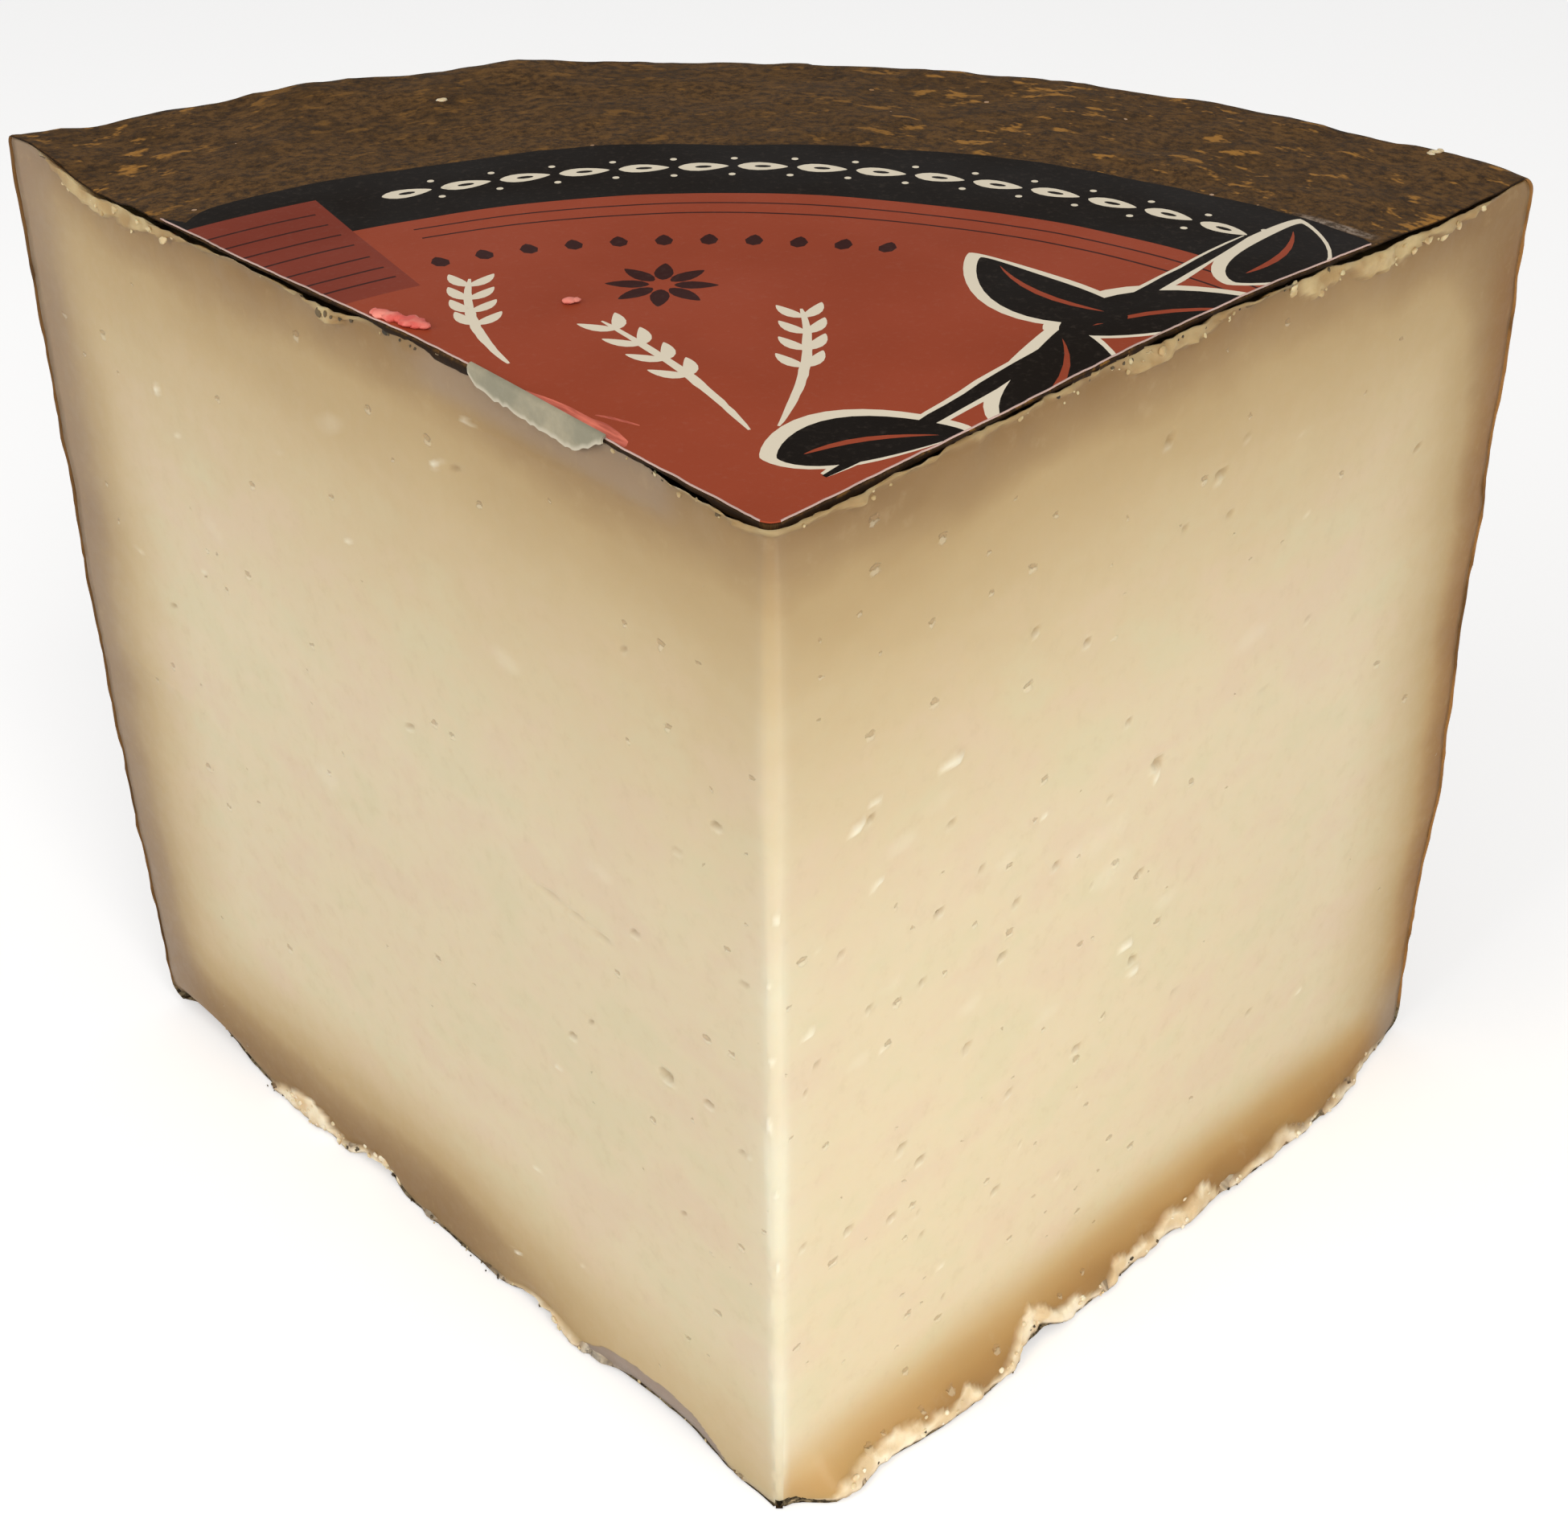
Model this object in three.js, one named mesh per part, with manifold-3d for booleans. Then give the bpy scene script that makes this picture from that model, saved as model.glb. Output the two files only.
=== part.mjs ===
// A quarter of an aged sheep's milk cheese wheel, cut free with two upright cuts, with the paper
// label that is glued on its top rind. Millimetres, +Z up. The wedge stands on its bottom rind at
// z = 0 and its point faces -Y. The origin is on the base, on the line that halves the wedge.
import * as THREE from "three";
import { mergeVertices } from "three/addons/utils/BufferGeometryUtils.js";
import Module from "manifold-3d";

const wasm = await Module();
wasm.setup();

// The wheel and the two cuts.
const WHEEL_RADIUS = 96;
const SIDE_BULGE = [1.6, 0.5]; // the side's swell at mid height, at the left and the right cut
const SIDE_SKEW = 0.45; // how much larger the radius is at the left cut, and smaller at the right
const HEIGHT = 97.6; // at the point of the wedge
const RIGHT_FLARE = { out: 2.6, from: 78, over: 50 }; // the side spreads out below this height
const TOP_SLOPE = [-0.0172, 0.01247]; // rise of the top along X and Y
const HALF_ANGLE = THREE.MathUtils.degToRad(44.8);
const POINT_Y = -57.6; // the point of the wedge in the part's frame
const WHEEL_MIDDLE_X = -5.4; // the cuts meet this far beside the wheel's middle
const LEAN = [-1.4, 0.9]; // how far the foot of the wedge is shifted from its top
const POINT_RADIUS = 1; // rounding of the front edge
const RIM_ROUNDING = [1, 2.4]; // rounding of the top rim, at the left and the right cut
const FOOT_ROUNDING = 1.6;

// Relief: [size of the lumps, how far they stand out].
const RIND_LUMPS = [[15, 0.4], [6.5, 0.45]];
const CUT_WAVES = [[38, 0.35], [11, 0.12]];
const CRUMBLY_EDGE = { size: 3.4, out: 0.75, depth: 3.2 }; // torn paste just below the top edge
// Swells and dips of the top, each [x, y, height, reach] from the point of the wedge.
const TOP_SWELLS = [[32, 33, 1.2, 26], [-25, 25, 0.9, 22], [-64, 64, -1, 9], [0, 70, 0.5, 24],
  [-71, 66, 1.8, 9], [-44, 86, 0.9, 9], [-24, 95, 0.6, 9], [66, 66, 0.5, 12]];
// Where the cut pulled the bottom rind outwards, on the right cut: distances from the point.
const BURR = { rises: [1, 5], fades: [72, 96], out: 4, height: 6 };
// Pieces broken off the bottom edge: [cut, distance from the point, half width, rise].
const LEFT = -1;
const RIGHT = 1;
const CHIPS = [
  [LEFT, 16.5, 7.5, 0.6],
  [LEFT, 34, 3.5, 0.7],
  [LEFT, 61, 4, 0.9],
  [LEFT, 100, 15, 1.5],
  [RIGHT, 31, 3, 0.9],
];
const CHIP_DEPTH = 0.8; // how far a chip bites in, as a share of its rise

// Eyes in the paste, seeded, with the large ones by hand: [distance, height, length, tilt].
const EYE_TILT = THREE.MathUtils.degToRad(30);
const LARGE_EYES = {
  [LEFT]: [[13, 43, 2.8, 0.2], [45, 62, 1.5, 0.3], [16, 56, 1.6, 0]],
  [RIGHT]: [[42, 89.5, 2, 0.4], [49, 84, 2.4, 0.3], [44.5, 58.5, 3.4, -0.3], [26, 48, 2.2, 0.5],
    [33.7, 75, 1.6, 0.6], [22, 40.5, 1.8, 0.5], [44, 36.5, 2.6, -0.4], [14.4, 34, 2.2, 0.4]],
};
const SMALL_EYES = { [LEFT]: 3, [RIGHT]: 8 };
const EYE_LENGTH = [1.3, 2.2];
const FINE_EYE = 2.3; // longer eyes get more facets
const EYE_SHAPE = [0.5, 0.34, 0.45]; // half length, half height and half depth, for a length of 1
const EYE_SINK = 0.12; // how far an eye's middle lies below the face, as a share of its length
const NICKS = [[55, 1.9], [39, 2.6], [30, 1.7]]; // on the front edge: [height, size]

// The label: a sector of a round paper sheet, with a torn strip hanging over the left cut.
const LABEL_RADIUS = 70.5;
const LABEL_CORNER = 7; // rounding where its rim meets the left cut
const LABEL_TURN = 0.55; // how much of that rounding the cut leaves
const LABEL_SCALLOP = 0.8;
const PAPER = 0.35;
const PAPER_GAP = 0.3;
const FLAP = {
  from: 16.4, to: 31.5, // its ends, from the point along the cut
  drop: [2.8, 1.1], // its length down the cut, at those ends
  ragged: 0.45, inset: 3, gap: 0.32, paper: 0.45, steps: 10,
};

// Grid of the solids: columns on each stretch of the outline, and the rows.
const CHEESE_COLUMNS = { left: 34, point: 4, right: 32, side: 54 };
const LABEL_COLUMNS = { left: 20, point: 3, right: 18, side: 34 };
const SIDE_ROWS = [0, 0.012, 0.028, 0.05, 0.09, 0.14, 0.2, 0.27, 0.34, 0.41, 0.48, 0.55, 0.62, 0.69,
  0.76, 0.82, 0.87, 0.91, 0.945, 0.968, 0.982, 0.993, 1];
const TOP_RINGS = [0.985, 0.955, 0.9, 0.81, 0.69, 0.55, 0.38, 0.2];
const BASE_RINGS = [0.3, 0.7, 0.9, 0.965];
const LABEL_RINGS = [0.25, 0.5, 0.75, 0.92];

const lerp = THREE.MathUtils.lerp;
const smoothstep = THREE.MathUtils.smoothstep;

// Repeatable value noise, from -1 to 1: a random value at each corner of a unit lattice, blended.
function latticeValue(i, j, k) {
  const wave = Math.sin(i * 127.1 + j * 311.7 + k * 74.7) * 43758.5453;
  return 2 * (wave - Math.floor(wave)) - 1;
}

function lumps(x, y, z, size) {
  const at = [x / size, y / size, z / size];
  const low = at.map(Math.floor);
  const [u, v, w] = at.map((value, axis) => smoothstep(value - low[axis], 0, 1));
  let sum = 0;
  for (let corner = 0; corner < 8; corner++) {
    const [i, j, k] = [corner & 1, (corner >> 1) & 1, corner >> 2];
    const weight = (i ? u : 1 - u) * (j ? v : 1 - v) * (k ? w : 1 - w);
    sum += weight * latticeValue(low[0] + i, low[1] + j, low[2] + k);
  }
  return sum;
}

function layered(x, y, z, layers) {
  return layers.reduce((sum, [size, out]) => sum + out * lumps(x, y, z, size), 0);
}

// A bump that is 1 at its middle and fades to 0 over its reach.
const bump = (distance, reach) => Math.exp(-((distance / reach) ** 2));

// A random draw from 0 to 1 that is the same each run.
function seededDraw(seed) {
  let state = seed;
  return () => {
    state = (state * 16807) % 2147483647;
    return state / 2147483647;
  };
}

// Plan places are measured from the top of the front edge, before the lean.
const cutDirection = (cut) => [cut * Math.sin(HALF_ANGLE), Math.cos(HALF_ANGLE)];
const cutNormal = (cut) => [cut * Math.cos(HALF_ANGLE), -Math.sin(HALF_ANGLE)];
const share = (azimuth) => THREE.MathUtils.clamp((azimuth / HALF_ANGLE + 1) / 2, 0, 1);

function topHeight(x, y) {
  const swells = TOP_SWELLS.reduce(
    (sum, [sx, sy, height, reach]) => sum + height * bump(Math.hypot(x - sx, y - sy), reach), 0);
  return HEIGHT + TOP_SLOPE[0] * x + TOP_SLOPE[1] * y + swells;
}

// The rind's lumps show on the top only outside the label, which lies smooth.
function rindHeight(x, y) {
  const bare = smoothstep(Math.hypot(x - WHEEL_MIDDLE_X, y), LABEL_RADIUS + 0.5, LABEL_RADIUS + 5);
  return topHeight(x, y) + bare * layered(x, y, 300, RIND_LUMPS) * 0.7;
}

// How far a rounding of the given radius sets the surface back at a depth below its edge.
function roundingInset(radius, depth) {
  const left = Math.max(radius - depth, 0);
  return radius - Math.sqrt(radius ** 2 - left ** 2);
}

function sideRadius(azimuth, z) {
  const right = share(azimuth);
  const middle = 1 - (2 * z / HEIGHT - 1) ** 2;
  const [x, y] = [WHEEL_RADIUS * Math.sin(azimuth), WHEEL_RADIUS * Math.cos(azimuth)];
  const depth = Math.max(topHeight(x + WHEEL_MIDDLE_X, y) - z, 0);
  const spread = right ** 3 * smoothstep((RIGHT_FLARE.from - z) / RIGHT_FLARE.over, 0, 1);
  return WHEEL_RADIUS - SIDE_SKEW * (2 * right - 1) - 0.5 * (1 - z / HEIGHT)
    + lerp(...SIDE_BULGE, right) * middle + RIGHT_FLARE.out * spread
    + layered(x, y, z, RIND_LUMPS)
    - roundingInset(lerp(...RIM_ROUNDING, right), depth) - roundingInset(FOOT_ROUNDING, z);
}

// Distance from the point of the wedge, along a cut, to a circle about the wheel's middle.
function cutLength(cut, radius) {
  const along = -cut * Math.sin(HALF_ANGLE) * WHEEL_MIDDLE_X;
  return Math.sqrt(radius ** 2 - WHEEL_MIDDLE_X ** 2 + along ** 2) - along;
}

const fromMiddle = ([x, y]) => Math.atan2(x - WHEEL_MIDDLE_X, y);

function cornerOf(cut, radiusAt) {
  const direction = cutDirection(cut);
  let azimuth = cut * HALF_ANGLE;
  let length = 0;
  for (let pass = 0; pass < 3; pass++) {
    length = cutLength(cut, radiusAt(azimuth));
    azimuth = fromMiddle(direction.map((value) => value * length));
  }
  return { azimuth, length };
}

// The outline's columns, once round: down the left cut, round the point, up the right cut and
// back along the wheel's side. Each column keeps its stretch and its share of that stretch.
function outlineColumns(counts) {
  return Object.entries(counts).flatMap(([stretch, count]) =>
    Array.from({ length: count }, (_, i) => ({ stretch, at: i / count })));
}

// Plan place of a column, with its outward direction, for a side whose radius is radiusAt(azimuth).
// s is its distance from the point along its cut, carried on round the corner for the side.
function outlinePlace({ stretch, at }, radiusAt) {
  const start = POINT_RADIUS / Math.tan(HALF_ANGLE);
  if (stretch === "left" || stretch === "right") {
    const cut = stretch === "left" ? LEFT : RIGHT;
    const corner = cornerOf(cut, radiusAt);
    const s = cut === LEFT ? lerp(corner.length, start, at) : lerp(start, corner.length, at);
    return { cut, s, place: cutDirection(cut).map((d) => d * s), out: cutNormal(cut) };
  }
  if (stretch === "point") {
    const turn = lerp(-1, 1, at) * (Math.PI / 2 - HALF_ANGLE);
    const out = [Math.sin(turn), -Math.cos(turn)];
    const middle = POINT_RADIUS / Math.sin(HALF_ANGLE);
    const place = [out[0] * POINT_RADIUS, middle + out[1] * POINT_RADIUS];
    return { cut: turn < 0 ? LEFT : RIGHT, s: start, place, out };
  }
  const azimuth = lerp(cornerOf(RIGHT, radiusAt).azimuth, cornerOf(LEFT, radiusAt).azimuth, at);
  const out = [Math.sin(azimuth), Math.cos(azimuth)];
  const radius = radiusAt(azimuth);
  const near = at < 0.5 ? RIGHT : LEFT;
  const corner = cornerOf(near, radiusAt);
  const s = corner.length + Math.abs(azimuth - corner.azimuth) * WHEEL_RADIUS;
  return { near, s, place: [WHEEL_MIDDLE_X + out[0] * radius, out[1] * radius], out };
}

// Rise of the bottom edge where pieces are broken off it, flat in the middle of each piece.
function edgeRise(cut, s) {
  return CHIPS.reduce((rise, [side, at, half, height]) =>
    side === cut ? Math.max(rise, height * bump((s - at) ** 2, half ** 2)) : rise, 0);
}

// 1 between two limits, with soft ends of the given width outside them.
const between = (value, low, high, soft) =>
  smoothstep(value, low - soft, low) * (1 - smoothstep(value, high, high + soft));

// How far a cut face stands out at a distance from the point and a height.
function cutRelief(cut, s, z, top, x, y) {
  const depth = top - z;
  const torn = CRUMBLY_EDGE.out * lumps(x, y, z, CRUMBLY_EDGE.size) * bump(depth, CRUMBLY_EDGE.depth);
  const face = layered(x, y, z, CUT_WAVES) + torn;
  const rise = edgeRise(cut, s);
  const bite = CHIP_DEPTH * rise * bump(Math.max(z - rise, 0), 1.2);
  if (cut === LEFT) {
    const underFlap = between(s, FLAP.from, FLAP.to, 4) * between(depth, 0, 5, 4);
    return lerp(face, Math.min(face, 0), underFlap) - bite;
  }
  const along = smoothstep(s, ...BURR.rises) * (1 - smoothstep(s, ...BURR.fades));
  const ragged = 0.8 + 0.2 * lumps(x, y, 0, 7);
  return face - bite + BURR.out * along * ragged * bump(z, BURR.height / 1.6);
}

// A closed body from rows of plan places: the first and last rows close on a middle point.
function closedGrid(rows, bottomMiddle, topMiddle) {
  const count = rows[0].length;
  const positions = [...rows.flat(), bottomMiddle, topMiddle].flat();
  const [bottom, top] = [rows.length * count, rows.length * count + 1];
  const index = [];
  for (let i = 0; i < count; i++) {
    const next = (i + 1) % count;
    index.push(bottom, next, i);
    for (let row = 0; row + 1 < rows.length; row++) {
      const [a, b] = [row * count + i, row * count + next];
      const [c, d] = [b + count, a + count];
      if ((i + row) % 2) index.push(a, b, c, a, c, d);
      else index.push(a, b, d, b, c, d);
    }
    index.push(top, (rows.length - 1) * count + i, (rows.length - 1) * count + next);
  }
  const geometry = new THREE.BufferGeometry();
  geometry.setAttribute("position", new THREE.Float32BufferAttribute(positions, 3));
  geometry.setIndex(index);
  return geometry;
}

// From places measured at the point of the wedge to the part's frame, with the lean.
function toPart([x, y], z) {
  const down = 1 - z / HEIGHT;
  return [x + LEAN[0] * down, y + LEAN[1] * down + POINT_Y, z];
}

function solidFrom(geometry) {
  const bare = geometry.clone();
  bare.deleteAttribute("normal");
  bare.deleteAttribute("uv");
  const merged = mergeVertices(bare, 1e-4);
  return new wasm.Manifold(new wasm.Mesh({
    numProp: 3,
    vertProperties: new Float32Array(merged.attributes.position.array),
    triVerts: new Uint32Array(merged.index.array),
  }));
}

function geometryFrom(solid) {
  const { vertProperties, triVerts } = solid.getMesh();
  const geometry = new THREE.BufferGeometry();
  geometry.setAttribute("position", new THREE.BufferAttribute(vertProperties, 3));
  geometry.setIndex(new THREE.BufferAttribute(triVerts, 1));
  geometry.computeVertexNormals();
  return geometry;
}

// One column of the wedge's wall, from the bottom edge to the top edge.
function wallColumn(column) {
  return SIDE_ROWS.map((row) => {
    const rough = outlinePlace(column, (azimuth) => sideRadius(azimuth, row * HEIGHT));
    const rise = edgeRise(rough.cut ?? rough.near, rough.s);
    const top = rindHeight(...rough.place);
    const z = lerp(rise, top, row);
    const { cut, s, place, out } = outlinePlace(column, (azimuth) => sideRadius(azimuth, z));
    const relief = cut ? cutRelief(cut, s, z, top, ...place) : 0;
    const fade = column.at === 0 && column.stretch !== "point" ? 0 : 1;
    return { z, place: place.map((value, axis) => value + out[axis] * relief * fade) };
  });
}

function wedge() {
  const columns = outlineColumns(CHEESE_COLUMNS).map(wallColumn);
  const middle = [0, -POINT_Y];
  const ring = (share, edge, height) => columns.map((column) => {
    const place = column.at(edge).place.map((value, axis) => lerp(middle[axis], value, share));
    return toPart(place, height(...place));
  });
  const rows = [
    ...BASE_RINGS.map((share) => ring(share, 0, () => 0)),
    ...SIDE_ROWS.map((_, row) => columns.map((column) => toPart(column[row].place, column[row].z))),
    ...TOP_RINGS.map((share) => ring(share, -1, rindHeight)),
  ];
  return solidFrom(closedGrid(rows, toPart(middle, 0), toPart(middle, rindHeight(...middle))));
}

// An eye: a small faceted hollow, long and thin, drawn out along its tilt.
function eye(cut, s, z, length, tilt) {
  const hollow = new THREE.IcosahedronGeometry(1, length > FINE_EYE ? 1 : 0);
  hollow.scale(...EYE_SHAPE.map((value) => value * length));
  hollow.rotateZ(tilt);
  const [along, out] = [cutDirection(cut), cutNormal(cut)];
  const [px, py, pz] = toPart(along.map((d, axis) => d * s - out[axis] * EYE_SINK * length), z);
  const basis = new THREE.Matrix4().makeBasis(
    new THREE.Vector3(cut * along[0], cut * along[1], 0),
    new THREE.Vector3(0, 0, 1),
    new THREE.Vector3(cut * along[1], -cut * along[0], 0),
  );
  hollow.applyMatrix4(basis.setPosition(px, py, pz));
  return solidFrom(hollow);
}

// Small eyes lie thickest near the point of the wedge, as the paste is most open there.
function eyesOf(cut) {
  const draw = seededDraw(cut === LEFT ? 29 : 61);
  const small = Array.from({ length: SMALL_EYES[cut] }, () => [
    lerp(5, 42, draw()), lerp(18, 78, draw()), lerp(...EYE_LENGTH, draw()), EYE_TILT * draw() * 1.5,
  ]);
  return [...LARGE_EYES[cut], ...small].map((values) => eye(cut, ...values));
}

function nicks() {
  return NICKS.map(([height, size]) => {
    const nick = new THREE.IcosahedronGeometry(size / 2, 0);
    nick.scale(1, 1, 0.6);
    nick.translate(...toPart([size / 4, POINT_RADIUS / 3], height));
    return solidFrom(nick);
  });
}

function cheeseGeometry() {
  const hollows = [...eyesOf(LEFT), ...eyesOf(RIGHT), ...nicks()];
  return geometryFrom(hollows.reduce((solid, hollow) => solid.subtract(hollow), wedge()));
}

// The label's rim: a little wavy, and turned in to the left cut with a round corner.
const labelEnd = cornerOf(LEFT, () => LABEL_RADIUS).azimuth;

function labelRadius(azimuth) {
  const fromCut = Math.max((azimuth - labelEnd) * LABEL_RADIUS, 0);
  const wave = LABEL_SCALLOP * lumps(azimuth * LABEL_RADIUS, 0, 0, 13);
  return LABEL_RADIUS + wave - LABEL_TURN * roundingInset(LABEL_CORNER, fromCut);
}

function labelSheet() {
  const places = outlineColumns(LABEL_COLUMNS).map((column) => outlinePlace(column, labelRadius).place);
  const middle = [0, 42];
  const ring = (share, lift) => places.map((edge) => {
    const place = edge.map((value, axis) => lerp(middle[axis], value, share));
    return toPart(place, topHeight(...place) + lift);
  });
  const [under, over] = [PAPER_GAP, PAPER_GAP + PAPER];
  const outwards = [...LABEL_RINGS, 1];
  const rows = [
    ...outwards.map((share) => ring(share, under)),
    ...outwards.toReversed().map((share) => ring(share, over)),
  ];
  const height = topHeight(...middle);
  return solidFrom(closedGrid(rows, toPart(middle, height + under), toPart(middle, height + over)));
}

// The torn strip's section, outwards from the left cut: over the label's edge and down the cut.
function flapSection(drop) {
  const half = FLAP.paper / 2;
  const front = FLAP.gap + FLAP.paper;
  return [
    [-FLAP.inset, half], [-FLAP.inset, -half], [FLAP.gap, -half], [FLAP.gap, -drop],
    [front, -drop], [front, 0], [front - half, half],
  ];
}

// The strip is longer towards the point, and its lower edge is ragged.
function flap() {
  const [along, out] = [cutDirection(LEFT), cutNormal(LEFT)];
  const sections = Array.from({ length: FLAP.steps }, (_, i) => {
    const at = i / (FLAP.steps - 1);
    const s = lerp(FLAP.from, FLAP.to, at);
    const place = along.map((d) => d * s);
    const level = topHeight(...place) + PAPER_GAP + PAPER / 2;
    const drop = lerp(...FLAP.drop, at) + FLAP.ragged * lumps(s, 0, 0, 2.6);
    return flapSection(drop).map(([n, rise]) =>
      toPart(place.map((value, axis) => value + out[axis] * n), level + rise));
  });
  const count = sections[0].length;
  const index = [];
  for (let step = 0; step + 1 < sections.length; step++) {
    for (let i = 0; i < count; i++) {
      const [a, b] = [step * count + i, step * count + ((i + 1) % count)];
      index.push(a, b, b + count, a, b + count, a + count);
    }
  }
  // Each end is a fan from the inside of the bend, which sees the whole section.
  const bend = 2;
  const end = (sections.length - 1) * count;
  for (let i = 1; i + 1 < count; i++) {
    const [a, b] = [(bend + i) % count, (bend + i + 1) % count];
    index.push(bend, b, a, end + bend, end + a, end + b);
  }
  const geometry = new THREE.BufferGeometry();
  geometry.setAttribute("position", new THREE.Float32BufferAttribute(sections.flat(2), 3));
  geometry.setIndex(index);
  return solidFrom(geometry);
}

function labelGeometry() {
  return geometryFrom(labelSheet().add(flap()));
}

function namedMesh(name, geometry, color, roughness) {
  const mesh = new THREE.Mesh(geometry, new THREE.MeshStandardMaterial({ color, roughness, metalness: 0 }));
  mesh.name = name;
  return mesh;
}

const cheese = new THREE.Group();
cheese.add(namedMesh("cheese", cheeseGeometry(), 0xdcc9a2, 0.55));
cheese.add(namedMesh("label", labelGeometry(), 0x8a432f, 0.4));

export default cheese;
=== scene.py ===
import bmesh
import bpy
import numpy as np
from mathutils import Matrix, Vector
from mathutils.geometry import delaunay_2d_cdt


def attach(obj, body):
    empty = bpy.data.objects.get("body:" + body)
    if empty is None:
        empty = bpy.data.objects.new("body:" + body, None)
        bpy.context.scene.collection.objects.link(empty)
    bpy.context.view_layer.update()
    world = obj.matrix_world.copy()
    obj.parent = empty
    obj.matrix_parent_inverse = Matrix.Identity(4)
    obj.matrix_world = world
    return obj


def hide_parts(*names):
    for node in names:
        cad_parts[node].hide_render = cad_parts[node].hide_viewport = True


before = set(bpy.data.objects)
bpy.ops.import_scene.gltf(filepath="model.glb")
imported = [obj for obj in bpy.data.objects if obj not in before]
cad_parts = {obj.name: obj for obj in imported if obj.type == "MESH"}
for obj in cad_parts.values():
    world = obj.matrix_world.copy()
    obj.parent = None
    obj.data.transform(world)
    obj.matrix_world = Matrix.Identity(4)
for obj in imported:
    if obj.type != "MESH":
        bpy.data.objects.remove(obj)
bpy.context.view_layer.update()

# The paste is the cheese itself: curd pressed in a round mould and aged until it is firm and ivory,
# and browner towards the rind, where it dried. Two upright cuts laid it bare, with the small
# openings that pressing leaves, and torn strips where the knife broke through the rind.
wheel_radius, height = 96.0, 97.6
side_bulge = (1.6, 0.5)  # swell of the side at mid height, at the left and the right cut
side_skew, foot_inset = 0.45, 0.5  # the side's slant between the cuts, and how far in its foot lies
right_flare, flare_from, flare_over = 2.6, 78, 50  # the side spreads out below this height
top_slope = (-0.0172, 0.01247)
half_angle = np.radians(44.8)
point_y = -57.6
wheel_middle_x = -5.4
lean = (-1.4, 0.9)
point_radius = 1.0
rim_rounding = (1.0, 2.4)
foot_rounding = 1.6
rind_lumps = ((15, 0.4), (6.5, 0.45), (2.6, 0.17))  # (size, height) of each layer
top_lumps, top_lumps_level = 0.7, 300  # their share on the top, and where they are read from
cut_waves = ((38, 0.35), (11, 0.12))
crumbly_size, crumbly_out, crumbly_depth = 3.4, 0.5, 3.2
top_swells = (
    (32, 33, 1.2, 26), (-25, 25, 0.9, 22), (-64, 64, -1, 9), (0, 70, 0.5, 24),
    (-71, 66, 1.8, 9), (-44, 86, 0.9, 9), (-24, 95, 0.6, 9), (66, 66, 0.5, 12),
)
label_radius = 70.5
left, right = -1, 1
burr_rises, burr_fades = (1, 5), (72, 96)  # distances from the point, on the right cut
burr_out, burr_reach = 4.0, 3.75  # how far it stands out, and the height over which it fades
chips = (
    (left, 16.5, 7.5, 0.6), (left, 34, 3.5, 0.7), (left, 61, 4, 0.9), (left, 100, 15, 1.5),
    (right, 31, 3, 0.9),
)  # (cut, distance from the point, half width, height)
bite_share, bite_reach = 0.8, 1.2  # the cut is bitten above a chip, for its height and over this
undercut_at, undercut_half, undercut_rise, undercut_depth = 17.5, 9, 3.7, 0.12
flap_from, flap_to = 16.4, 31.5
flat_depth, flat_fade = 5, 4  # how deep and how far around the cut stays flat behind the flap
skin = 0.3  # how far the paste stays inside the rind's outer surface
rind_blend = 4.0  # how softly the distances to the top, the side and the foot join

# Openings in the paste: [distance from the point, height, length, tilt in radians].
large_eyes = {
    left: ((13, 43, 1.9, 0.1), (45, 62, 1.1, 0.2), (16, 56, 1.2, 0), (34.8, 90, 0.9, 0.1),
           (60.5, 82.8, 0.8, 0.1), (15.5, 82.3, 0.9, 0.2), (10.2, 66.8, 1.0, 0.1),
           (65, 57.8, 0.8, 0.2), (47.6, 53.5, 0.9, 0.1), (22.5, 42.9, 0.9, 0.1),
           (7.8, 43.2, 1.0, 0.1), (54, 33.5, 0.9, 0.2), (84, 58.2, 0.9, 0.1)),
    right: ((42, 89.5, 1.4, 0.1), (49, 84, 1.6, 0.1), (44.5, 58.5, 1.9, -0.2), (26, 48, 1.4, 0.1),
            (33.7, 75, 1.2, 0.2), (22, 40.5, 1.3, 0.1), (44, 37.6, 1.5, -0.1), (14.4, 34, 1.4, 0.1),
            (27.3, 78.6, 1.1, 0.2), (9.7, 70, 1.2, 0.1), (18.7, 65, 1.2, 0.1), (27.3, 53, 1.2, 0.2),
            (43.8, 47.5, 1.1, 0), (7, 59, 1.1, 0.2), (18, 57, 1.2, 0.1), (16.3, 51, 1.1, 0.2),
            (27.9, 31.7, 1.2, 0.1), (16.9, 31.2, 1.1, 0), (51.2, 29.8, 1.1, 0.1),
            (13.5, 27, 1.2, 0.2), (16.6, 25, 1.1, 0.1), (26.9, 21, 1.1, 0.1), (78.4, 76, 1.0, 0.1)),
}
small_eyes = {left: 6, right: 24}
eye_seeds = {left: 29, right: 61}
eye_slimness, lip_drop = 0.42, 0.8
# The small ones lie between these distances, heights and tilts, and have these lengths.
eye_places, eye_levels, eye_tilts, eye_lengths = (3, 65), (10, 88), (-0.3, 0.1), (0.7, 1.2)
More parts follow.
